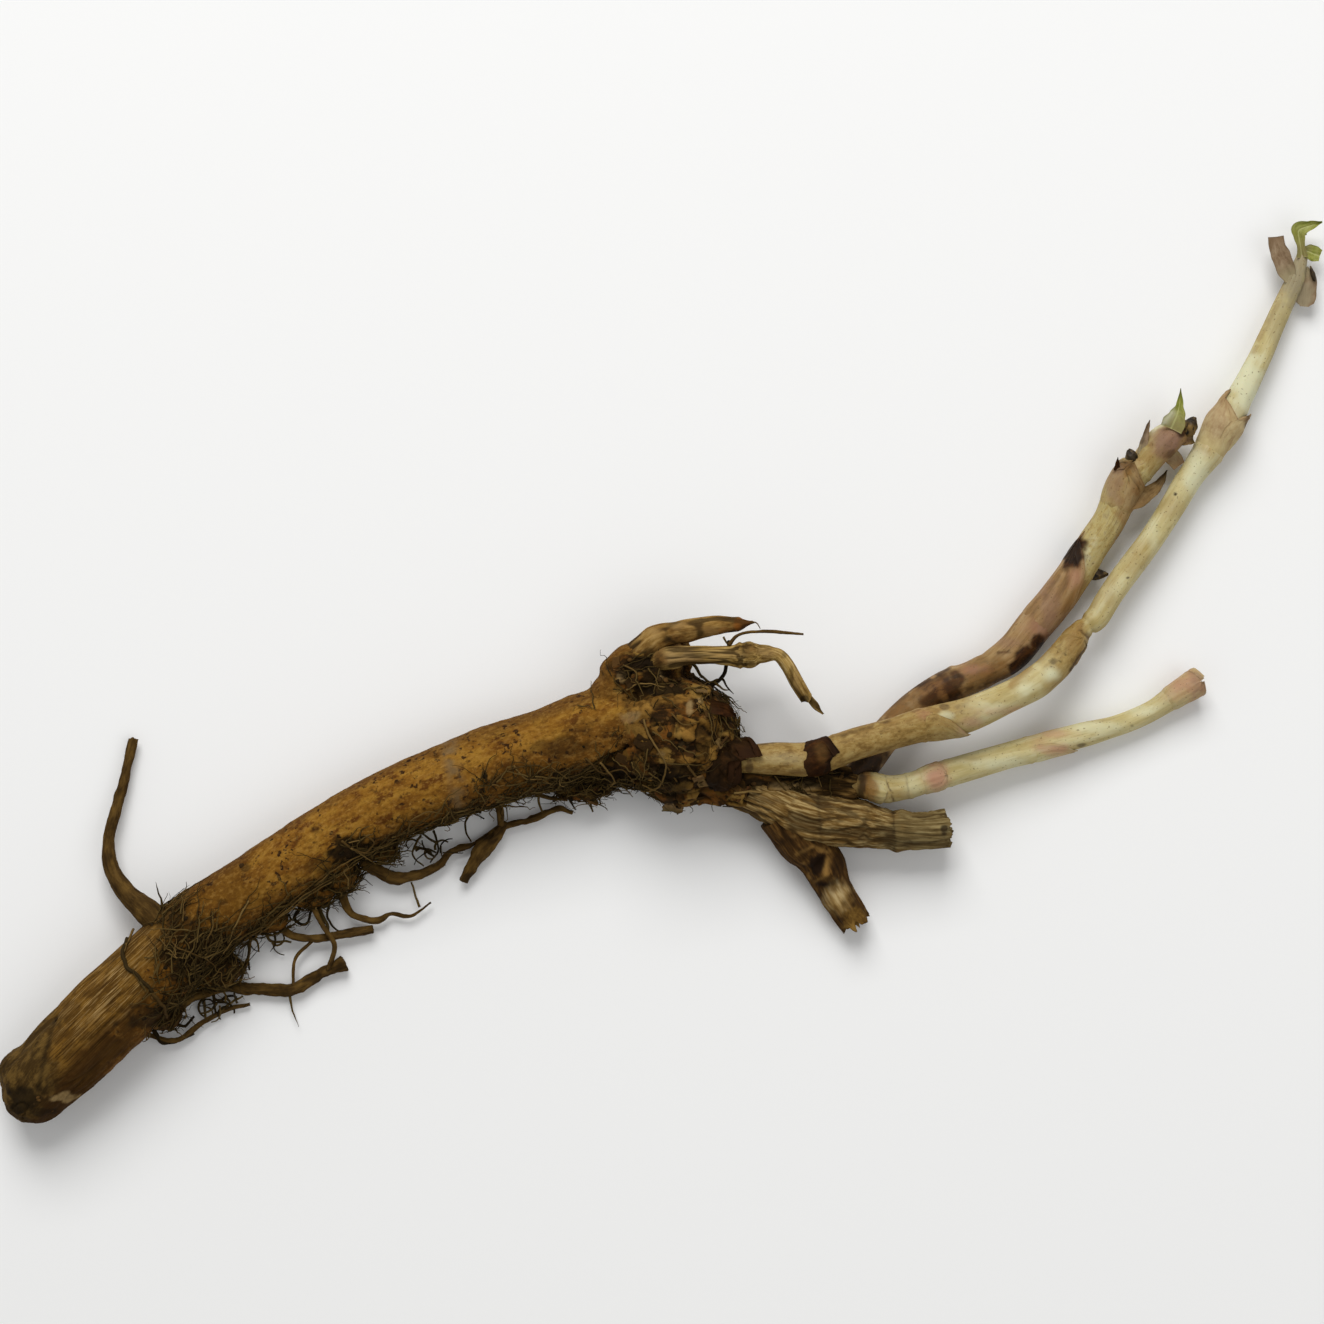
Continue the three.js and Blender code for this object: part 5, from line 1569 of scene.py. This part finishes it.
# %% Scaly shoot
SCALY_TONE = [
    (54, 0.3), (62, 0.2), (70, 0.2), (74, 0.1), (86, 0.25), (96, 0.1), (107.6, 0.1), (109.2, 0.95),
    (115, 0.95), (117.6, 0.3), (121.4, 0.5), (122.6, 1), (124.6, 0.9), (127, 0.1),
]
add_stem("scaly_shoot", "brown_pink_shoot", brown_pink, SCALY_SHOOT, 0.33, 64, flutes(100, rings_at(
    scaly_line, (80.5, 10, 0.3, 0.9), (88, 13.4, -0.25, 1.4), (121, 59.5, 0.3, 0.7),
), 0.14), 0.3, 101, {
    "gold": [
        (0.7, 67.4, 3, 4.6, 3), (0.6, 84, 11, 90, 14, 1.3), (0.5, 72, 6, 79, 9.6, 1.6),
        (0.7, 105, 26.4, 109.6, 32.4, 0.9),
    ],
    "tan": [(0.5, 86, 12, 4, 3), (0.6, 123.4, 60.4, 2.2, 2.6), (0.5, 100, 30, 107, 40, 0.6)],
    "mauve": [(0.5, 101, 27, 2.6, 5), (0.85, 127.4, 64, 3.4, 2.9), (0.4, 92, 19, 3, 1.2)],
    "blush": [(0.35, 99, 23, 3, 2.4), (0.35, 84, 13, 3, 1), (0.6, 107, 33.6, 1.3, 2)],
    "brown": [(1, 76.4, 8, 4.6, 3.6), (0.6, 86, 12, 5, 3), (0.5, 62, 0, 70, 7, 1.4), (0.4, 99.6, 22, 3, 6)],
    "stain": [
        (1, 94.6, 13.8, 2.2, 2.2), (1, 96.2, 16, 2.7, 2.8), (1, 98.4, 18.8, 1.8, 1.7),
        (0.8, 89.6, 16.6, 94.4, 17.4, 0.4), (0.85, 79.6, 9.8, 1.9, 3.6), (0.8, 74.6, 5.8, 3.4, 1.7),
        (0.7, 76.4, 12.2, 2.8, 0.9), (1, 106.4, 39.6, 2.6, 3.8), (0.9, 60, -8, 5, 5),
        (0.9, 71, 8.8, 78.6, 13, 0.55), (0.6, 80.6, 8, 92, 11, 0.6), (0.6, 66, 5, 72, 9.6, 0.5),
        (0.35, 97, 25, 103.6, 34, 0.4), (0.8, 131.1, 66.6, 1.3, 1.4), (0.5, 128.4, 61.4, 1.6, 1),
        (0.4, 126.4, 63, 128.6, 62.6, 0.3),
    ],
    "pale": [(0.7, 124.2, 66.6, 127.4, 68.8, 0.6), (0.4, 108.4, 36, 111, 42, 1)],
    "dark": [(0.7, 60, -9, 5, 3), (0.5, 93, 11, 99, 17, 0.4), (0.7, 106.2, 40.2, 2, 3)],
}, SCALY_TONE)

# %% Short shoot
SHORT_TONE = [
    (52, 1), (60, 0.8), (63, 0.35), (68, 0.3), (74, 0.1), (92, 0.0), (106, 0.1), (120, 0.0), (128, 0.3),
]
add_stem("short_shoot", "cream_shoot", cream, SHORT_SHOOT, 0.33, 56, flutes(110, rings_at(
    short_line, (69.4, -13.4, 0.14, 0.5), (78.6, -10.3, 0.1, 0.7), (96.6, -5.3, 0.12, 0.4),
    (64.6, -14, 0.12, 0.5),
)), 0.5, 111, {
    "tan": [
        (0.9, 59.4, -13.6, 2.4, 4), (0.4, 66, -15, 3, 1), (0.4, 84, -7.2, 2, 0.5), (0.4, 112, 1.6, 4, 0.5),
    ],
    "blush": [
        (0.8, 75.8, -11.4, 2.4, 3.2), (0.4, 73.8, -9.8, 2.6, 1), (0.5, 102.4, -1.6, 3.6, 1),
        (0.55, 102.6, -4.8, 4.2, 1.2), (0.3, 99, -3.6, 2.4, 2.4), (0.6, 132.5, 9.6, 4.4, 3.6),
    ],
    "mauve": [(0.35, 134, 10, 2.6, 3)],
    "pale": [(0.4, 70, -13.4, 2, 1.6), (0.6, 112, 0, 6, 1.4), (0.5, 122, 3.8, 3, 1.2), (0.6, 88, -8, 6, 1.2)],
    "stain": [
        (0.8, 63.9, -10.6, 66.2, -17.2, 0.2), (0.6, 108.3, -4.2, 1.3, 0.6),
        (0.3, 69, -10.6, 69.6, -16.4, 0.2),
    ],
    "dark": [(0.6, 73.8, -9.2, 0.7, 0.35), (0.4, 120, 0.2, 0.4, 0.3), (0.8, 58.6, -14, 1.2, 3.4)],
    "gold": [(0.85, 60.4, -13.6, 1.9, 3.6)],
}, SHORT_TONE)

# %% [markdown]
# ## Scale leaves and buds
# A scale leaf is a thin papery wrap that clasps the stem at each joint, with a torn or pointed tip.
# It is made as a shell with two faces and a rim, sunk into the stem at its base and lifting away
# towards its tip. The veins are pushed into it. Free blades, such as the leaves and spikes, are the
# same kind of shell on a path, and buds are small pointed lumps.

# %% Shells
def shell(rows, columns, surface):
    """A thin closed skin over a sheet. surface(across, along, height) runs from -1 to 1 and 0 to 1."""
    along, across = np.meshgrid(np.linspace(0, 1, rows), np.linspace(-1, 1, columns), indexing="ij")
    sides = [surface(across, along, height).reshape(-1, 3) for height in (1.0, 0.0)]
    count = rows * columns
    top = grid_faces(rows, columns, False)
    under = [tuple(count + i for i in reversed(face)) for face in top]
    edge = [
        *range(columns - 1), *[(r + 1) * columns - 1 for r in range(rows - 1)],
        *[(rows - 1) * columns + c for c in range(columns - 1, 0, -1)],
        *[r * columns for r in range(rows - 1, 0, -1)],
    ]
    rim = [(edge[i - 1], edge[i - 1] + count, edge[i] + count, edge[i]) for i in range(len(edge))]
    rim = [tuple(reversed(face)) for face in rim]
    return np.vstack(sides), top + under + rim, np.tile(along.ravel(), 2), np.tile(across.ravel(), 2)


def sheet_attributes(points, along, across, length, width, marks, tone=()):
    straight = np.stack([along * length, across * width, 0 * along], -1)
    return {"straight": straight, "along": along, "edge": np.abs(across), **marked(points, marks or {}, tone)}


# %% Scale leaves that clasp a stem
SCALE_SKIN = 0.2  # thickness of a scale leaf


def add_sheath(node, slot, finish, stem, at, angle, span, length, lift, sharpness, ragged, seed,
               slant=0.0, tone=(), rough=0.0, marks=None):
    """A scale leaf that clasps a stem from a place in the plan; angle is its middle, span how far round."""
    start, middle, half = stem.nearest(*at), math.radians(angle), math.radians(span / 2)

    def surface(across, along, height):
        torn = fractal(np.stack([across * 4, along, along], -1), 1.0, seed, 3)
        s = start + along * length * (1 + ragged * torn + slant * across)
        wave = 1 + 0.08 * fractal(np.stack([along * 5, across, across], -1), 1.0, seed + 1, 2)
        spread = -half * across * np.maximum(0.06, 1 - along ** sharpness) * wave
        vein = 0.08 * fractal(np.stack([along * 3, across * 4, across], -1), 1.0, seed + 2, 2)
        vein = vein + 0.04 * np.cos(across * half * 16)
        raised = -0.4 + 0.42 * smooth(0, 0.2, along) + lift * along ** 2 + vein * smooth(0.1, 0.4, along)
        raised = raised + rough * fractal(np.stack([s, 4 * half * across, across], -1), 2.0, seed + 3, 4, 0.6)
        return stem.place(s, stem.radius(s) + raised + height * SCALE_SKIN, middle + spread)

    points, faces, along, across = shell(int(length * 3) + 8, int(span / 5) + 8, surface)
    attributes = sheet_attributes(points, along, across, length, half * 3.5, marks, tone)
    settle(new_mesh(f"{node}_scale", above_floor(points), faces, attributes), finish, slot, [node])


# %% Blades and buds
BLADE_SKIN = 0.3  # a free blade is thicker, because it carries itself


def add_blade(node, slot, finish, path, cup, fold, ragged, seed, marks=None, extra=False):
    """A free leaf, scale or spike; a path's fourth number is its half width. An extra has no CAD node."""
    spine_line = Stem(path)

    def surface(across, along, height):
        torn = 1 + ragged * fractal(np.stack([along * 5, across * 3, across], -1), 1.0, seed, 2)
        s = along * spine_line.length
        half = spine_line.radius(s) * torn
        centre, _, side, up = spine_line.frame(s)
        rise = cup * across ** 2 + fold * np.abs(across) - 0.07 * np.exp(-(across / 0.12) ** 2)
        rise = rise + 0.1 * fractal(np.stack([along * 4, across * 2, across], -1), 1.0, seed + 3, 2)
        rise = rise + 0.03 * np.cos(across * 14 + along * 6)
        out = rise + (height - 0.5) * BLADE_SKIN
        return centre + side * (across * half)[..., None] + up * out[..., None]

    points, faces, along, across = shell(int(spine_line.length * 3) + 12, 20, surface)
    width = spine_line.radii.max()
    attributes = sheet_attributes(points, along, across, spine_line.length, width, marks)
    mesh = new_mesh(f"{node}_blade", above_floor(points), faces, attributes)
    settle(mesh, finish, slot, [] if extra else [node])


def add_bud(node, slot, finish, centre, radii, direction=(1, 0), seed=0):
    """A pointed lump of closed bud scales; direction is its long axis in the plan."""
    points, faces = ball((0, 0, 0), (1, 1, 1), 30, 36)
    tip = smooth(0.2, 1, points[:, 0])
    wrapped = np.abs(np.sin(3 * np.arctan2(points[:, 2], points[:, 1]) + 3 * points[:, 0]))
    rough = 1 + 0.1 * fractal(points, 0.5, seed) - 0.1 * (1 - smooth(0, 0.3, wrapped))
    straight = points * radii
    pointed = np.stack([1 + 0.15 * tip, 1 - 0.3 * tip, 1 - 0.3 * tip], -1)
    points = points * rough[:, None] * pointed * np.array(radii)
    x, y = np.array(direction, float) / np.hypot(*direction)
    points = points @ np.array([[x, y, 0], [-y, x, 0], [0, 0, 1]]) + np.array(centre)
    attributes = {"straight": straight, "height": rough - 1, "along": 0.5 + 0.5 * straight[:, 0] / radii[0]}
    settle(new_mesh(f"{node}_bud", above_floor(points), faces, attributes), finish, slot, [node])


# %% Scale, bud and leaf finishes
def scale_finish(name, tones, tip_colour, base_colour, roughness=0.65, specular=0.1):
    p = Paint(name, roughness, specular)
    vein = p.noise((7, 0.4), 4, 0.65)
    blotch = p.noise((2.6, 1.5), 5, 0.68)
    colour = p.ramp(blotch, zip(THIRDS, tones))
    colour = p.over(0.45, p.between(vein, 0.5, 0.72), colour, tones[0])
    colour = p.over(0.9, p.between(p.mask("along"), 0.45, 0), colour, base_colour)
    colour = p.over(0.7, p.between(p.mask("along"), 0.72, 1), colour, tip_colour)
    colour = p.over(0.35, p.between(p.mask("edge"), 0.8, 1), colour, tip_colour)
    colour = stained(p, colour, vein, blotch)
    return p.finish(colour, vein, 0.4, 0.15)


def bud_finish(name, base):
    p = Paint(name, 0.5, 0.2)
    blotch = p.noise(1.1, 3, 0.6)
    colour = p.ramp(blotch, [(0.35, (30, 22, 12)), (0.52, (56, 42, 24)), (0.68, (98, 80, 46))])
    colour = p.mix(p.between(p.mask("along"), 0.72, 0.5), colour, p.mix(blotch, base, colour))
    # Painted shade in the grooves between bud scales and in every dip of the relief.
    colour = p.mix(p.between(p.mask("height"), 0.0, -0.12), colour, (18, 13, 8))
    return p.finish(colour, blotch, 0.5, 0.15)


def leaf_finish():
    p = Paint("green_leaf_finish", 0.5, 0.35)
    vein = p.veins((1.3, 0.7))
    blotch = p.noise((2.4, 1.2), 3, 0.6)
    colour = p.ramp(blotch, [(0.32, (104, 107, 30)), (0.5, (130, 132, 48)), (0.68, (152, 152, 76))])
    colour = p.over(0.4, p.between(vein, 0.12, 0.02), colour, (160, 158, 88))
    colour = p.over(0.85, p.between(p.mask("along"), 0.6, 0.1), colour, (138, 126, 80))
    colour = p.over(1, "pale", colour, (196, 192, 160))
    rib = p.between(p.mask("edge"), 0.12, 0.02)
    colour = p.over(0.6, rib, colour, (188, 188, 126))
    p.soften(0.1, (0.6, 1.0, 0.2), 0.8)
    return p.finish(colour, vein, 0.4, 0.12)


pink_scale = scale_finish("pink_scale_finish", [(156, 130, 90), (178, 156, 112), (192, 174, 130)],
                          (144, 112, 76), (192, 176, 124))
lilac_scale = scale_finish("lilac_scale_finish", [(108, 86, 62), (134, 112, 86), (152, 132, 106)],
                          (122, 98, 72), (158, 146, 112))
brown_scale = scale_finish("brown_scale_finish", [(30, 15, 5), (47, 25, 8), (70, 40, 15)],
                           (32, 19, 9), (54, 33, 14), 0.7, 0.05)
tan_scale = scale_finish("tan_scale_finish", [(92, 70, 40), (116, 91, 54), (136, 112, 74)],
                         (72, 62, 32), (128, 100, 62))
black_scale = scale_finish("black_scale_finish", [(24, 14, 5), (37, 23, 8), (56, 35, 13)],
                           (48, 28, 14), (34, 23, 11), 0.7, 0.04)
dark_bud = bud_finish("dark_bud_finish", (58, 48, 28))
brown_bud = bud_finish("brown_bud_finish", (150, 118, 62))
green_leaf = leaf_finish()

# %% Scale leaves on the crown and the front shoot
crown_cap = Stem([(22, -8, 12.4, 7), (26, -7.8, 13, 6.8), (30.6, -7.4, 13.8, 5.6), (36.5, -6.8, 14.6, 4.2)])
add_sheath(
    "crown_dark_sheath", "dark_bud", black_scale, crown_cap, (24.6, -8),
    angle=92, span=150, length=8.4, lift=0.1, sharpness=11, ragged=0.3, seed=120, slant=-0.16, rough=0.9,
)
add_sheath(
    "front_ring_sheath", "brown_scale", brown_scale, front_line, (45.6, -7),
    angle=78, span=250, length=6.4, lift=0.15, sharpness=9, ragged=0.16, seed=121, slant=-0.3, rough=0.2,
    marks={
        "dark": [(0.9, 53.4, -1.6, 50.4, -9.8, 0.6), (0.5, 46, -3, 46.2, -10, 0.7)],
        "tan": [(0.2, 49.4, -5.6, 1.3, 2)], "stain": [(0.5, 47, -3, 46.4, -10, 1.0)],
    },
)
add_sheath(
    "front_long_sheath", "cream_shoot", cream, front_line, (71, 0),
    angle=14, span=200, length=10.2, lift=0.5, sharpness=4, ragged=0.06, seed=122, tone=FRONT_TONE,
    marks={"tan": [(0.5, 79, 1, 2.6, 1)], "blush": [(0.5, 82, -0.4, 2, 1.4)]},
)
add_sheath(
    "front_joint_collar", "cream_shoot", cream, front_line, (103, 15.8),
    angle=60, span=240, length=6, lift=0.12, sharpness=6, ragged=0.06, seed=123, tone=FRONT_TONE,
    marks={
        "tan": [(0.7, 107, 20, 2.6, 3.2), (0.7, 100, 17, 104, 20.8, 1.0)],
        "stain": [(0.9, 105.8, 13, 109.4, 18.6, 0.5)],
    },
)
add_sheath(
    "front_node_scale_left", "pink_scale", pink_scale, front_line, (136.4, 61.4),
    angle=140, span=215, length=13.6, lift=0.35, sharpness=8, ragged=0.05, seed=124, slant=-0.12,
    marks={"mauve": [(0.3, 138.6, 69, 2, 4)]},
)
add_sheath(
    "front_node_scale_right", "pink_scale", pink_scale, front_line, (137.6, 63.3),
    angle=12, span=150, length=10, lift=0.7, sharpness=8, ragged=0.08, seed=125,
    marks={"stain": [(0.8, 146.4, 72.4, 145.6, 68, 0.5)]},
)

# %% Scale leaves on the scaly shoot
add_sheath(
    "scaly_long_sheath", "brown_pink_shoot", brown_pink, scaly_line, (97, 21.4),
    angle=150, span=250, length=23.5, lift=0.25, sharpness=3.2, ragged=0.12, seed=126,
    tone=[(90, 0.1), (106, 0.1)],
    marks={
        "stain": [(1, 105.9, 39.8, 3.1, 3.9), (0.35, 97, 25, 103.6, 34, 0.4)],
        "dark": [(0.8, 106.3, 40, 2.2, 2.8)], "mauve": [(0.5, 101, 27, 2.6, 5)],
        "gold": [(0.6, 104.4, 26.6, 108.4, 32.6, 0.8)], "blush": [(0.5, 107, 33.6, 1.3, 2)],
    },
)
add_sheath(
    "scaly_node_sheath", "brown_scale", brown_pink, scaly_line, (115, 48.6),
    angle=120, span=260, length=9.8, lift=0.35, sharpness=8, ragged=0.26, seed=127,
    tone=[(112, 1), (116, 0.5), (119, 0.4), (121, 0.2)],
    marks={
        "mauve": [(0.5, 115.8, 54.6, 1.8, 4.4), (0.2, 119, 52, 2, 3)],
        "brown": [(0.7, 117.4, 58.6, 2.6, 1.2)],
        "gold": [(0.9, 118, 55.6, 119.4, 58.4, 0.9), (0.7, 120.6, 53, 121.4, 57, 0.9)],
        "stain": [(0.6, 115.8, 59.2, 119, 59.4, 0.35)],
    },
)

# %% Scale leaves on the short shoot
add_sheath(
    "short_base_sheath", "cream_shoot", cream, short_line, (60.4, -13.2),
    angle=80, span=190, length=3.8, lift=0.05, sharpness=9, ragged=0.06, seed=128, tone=SHORT_TONE,
    marks={"gold": [(0.85, 60.4, -13.6, 1.9, 3.6)]},
)
add_sheath(
    "short_pink_ring", "pink_scale", cream, short_line, (71.6, -12.6),
    angle=90, span=240, length=6, lift=0.08, sharpness=8, ragged=0.06, seed=129, tone=SHORT_TONE,
    marks={"blush": [(0.85, 75.8, -11.4, 2.4, 3.2)]},
)
add_sheath(
    "short_node_scale", "pink_scale", cream, short_line, (96.5, -5.3),
    angle=10, span=190, length=10.4, lift=0.3, sharpness=3, ragged=0.06, seed=130, tone=SHORT_TONE,
    marks={
        "blush": [(0.6, 102.4, -1.6, 3.6, 1.2), (0.7, 103, -5, 4.2, 1.4)],
        "stain": [(0.6, 107, -4.6, 1, 0.5)],
    },
)
add_sheath(
    "short_tip_scale", "pink_scale", cream, short_line, (127, 6.5),
    angle=90, span=300, length=9.4, lift=0.25, sharpness=9, ragged=0.1, seed=131, tone=SHORT_TONE,
    marks={"blush": [(0.75, 132.5, 9.6, 4.4, 3.6)], "mauve": [(0.5, 134.6, 10.4, 1.8, 3.4)]},
)

# %% Blades and leaves on the front shoot
add_blade("front_tip_scale", "pink_scale", lilac_scale, [
    (155.8, 101, 4.6, 1.4), (154.6, 103.4, 5.4, 2.2), (153.5, 106.2, 5.6, 2.1), (152.7, 108.4, 5.6, 1.8),
    (152.4, 110.5, 5.5, 1.75),
], 0.6, 0.1, 0.05, 140)
add_blade("front_hanging_scale", "pink_scale", lilac_scale, [
    (158.9, 103.6, 3.4, 1.1), (159.6, 101, 3.6, 2.1), (159.6, 98.2, 3.4, 2.3), (159.4, 96, 3.2, 2),
    (159.3, 95, 3.1, 1),
], 0.5, 0.1, 0.08, 141, {"grey": [(0.8, 159.2, 97, 1.8, 3.4)]})
add_blade("leaf_upper", "green_leaf", green_leaf, [
    (158.5, 106, 4.6, 1.2), (158.1, 108.6, 5, 0.9), (157.7, 110.6, 5.3, 1.3), (157.7, 112, 5.4, 1.9),
    (160.2, 113, 5.5, 1.1), (162.9, 113.8, 5.6, 0.2),
], 0.2, 0.5, 0.05, 142)
add_blade("leaf_lower", "green_leaf", green_leaf, [
    (158.6, 107.8, 4.2, 0.6), (160, 107.3, 4.4, 1.6), (161.4, 106.7, 4.4, 1.8), (162.6, 106.3, 4.3, 1.3),
], 0.2, 0.4, 0.05, 143)

# %% Blades on the scaly shoot
add_blade("scaly_spur", "brown_scale", tan_scale, [
    (118.6, 50.6, 7.4, 2), (121, 51.6, 7.4, 2.4), (124.2, 53.2, 7, 1.5), (126.2, 55.2, 6.8, 0.9),
    (127.7, 57.8, 6.6, 0.12),
], 0.7, 0.2, 0.05, 144, {"dark": [(0.5, 127, 56.4, 1.8, 2)]})
add_blade("scaly_spike", "pink_scale", lilac_scale, [
    (121.8, 61.4, 8.6, 1.1), (122.2, 63.6, 9, 0.9), (122.7, 65.6, 9.1, 0.7), (123.1, 67.4, 9.1, 0.45),
    (123.6, 69, 9.1, 0.08),
], 0.2, 0.1, 0.05, 145, {"dark": [(0.5, 121.8, 64, 123.4, 69, 0.4)]})
add_blade("scaly_tip_scale", "green_leaf", green_leaf, [
    (128.2, 67, 10.4, 2.5), (128.8, 68.4, 10.9, 2.6), (129.5, 70.2, 11, 1.8), (130, 72.2, 10.8, 0.8),
    (130.3, 75.9, 10.4, 0.08),
], 0.3, 0.4, 0.03, 146, {"pale": [(0.8, 125.6, 67, 128.2, 70.6, 0.9)]})
add_blade("scaly_drooping_scale", "pink_scale", pink_scale, [
    (126.4, 62.8, 5, 1.4), (129.2, 60.9, 4.6, 1.9), (130.8, 58.9, 4.4, 1.5),
], 0.5, 0.1, 0.08, 147, {"mauve": [(0.5, 129.4, 60.4, 2, 2)]})
add_blade("scaly_side_scale", "brown_scale", tan_scale, [
    (129.4, 64.8, 7.4, 1), (131.4, 64.5, 7.6, 1.3), (133.6, 64.8, 7, 1),
], 0.5, 0.2, 0.15, 155, {"mauve": [(0.5, 131.4, 64.8, 1.6, 1)]}, extra=True)
add_blade("scaly_node_spike", "brown_scale", brown_scale, [
    (116.2, 57.6, 9, 0.8), (116.3, 59, 9.2, 0.5), (116.4, 60.6, 9.2, 0.08),
], 0.2, 0.1, 0.05, 156, extra=True)

# %% Crown scales and buds
add_blade("crown_papery_scale", "brown_scale", tan_scale, [
    (17.2, -14.6, 10.6, 2.2), (16.6, -17.2, 8.4, 2.5), (16.2, -19, 6.6, 1.8),
], 0.4, 0.3, 0.25, 148)
add_blade("crown_pointed_scale", "brown_scale", brown_scale, [
    (24.6, 4.8, 20.6, 1.6), (28, 4, 20.4, 1.4), (30.4, 2.6, 19.2, 0.2),
], 0.3, 0.2, 0.12, 149)
add_bud("front_tip_bud", "dark_bud", dark_bud, (160.9, 102.1, 5), (1.7, 0.55, 0.7), (-0.3, 1), 150)
add_bud("scaly_long_bud", "dark_bud", dark_bud, (111.6, 34.4, 5.6), (2.7, 1.35, 1.2), (1, 0.02), 151)
add_bud("scaly_round_bud", "dark_bud", dark_bud, (119.5, 60.8, 9), (1.6, 1.4, 1.4), (-0.4, 1), 152)
add_bud("scaly_tip_bud", "dark_bud", brown_bud, (132.6, 67.4, 8.4), (2.3, 1.8, 1.7), (0.5, 0.85), 153)

# %% [markdown]
# ## Roots
# The side root and the roots below the log are thin, brown and slightly knotty, tapering to threads.
# They are turned like the stems, with a lumpier relief and a broken end.

# %% Roots
def root_finish():
    p = Paint("root_finish", 0.8, 0.05)
    fine = p.noise((5, 0.45), 4, 0.65)
    blotch = p.noise((4, 1.6), 4, 0.65)
    colour = p.ramp(blotch, [(0.34, (48, 33, 13)), (0.5, (72, 52, 22)), (0.66, (96, 72, 33))])
    colour = p.over(0.4, p.between(fine, 0.48, 0.7), colour, (104, 80, 42))
    # Painted shade in the low places, by their depth.
    colour = p.over(0.6, p.between(p.mask("height"), -0.05, -0.3), colour, (32, 22, 10))
    return p.finish(colour, fine, 0.6, 0.25)


root_bark = root_finish()


def knotty(seed, deep=0.16):
    def relief(straight):
        fine = fractal(straight, (1.6, 0.8, 0.8), seed + 1, 2)
        return deep * (fractal(straight, (4, 1.4, 1.4), seed, 3) + 0.6 * fine)
    return relief


add_stem("side_root", "root_bark", root_bark, SIDE_ROOT, 0.35, 44, knotty(160, 0.15), 0.5, 161)
for number, (node, path) in enumerate(ROOTS.items()):
    thick = max(point[3] for point in path)
    lumps = knotty(170 + 3 * number, 0.22 * thick)
    add_stem(node, "root_bark", root_bark, path, 0.3, 24, lumps, 0.3 * thick, 171)
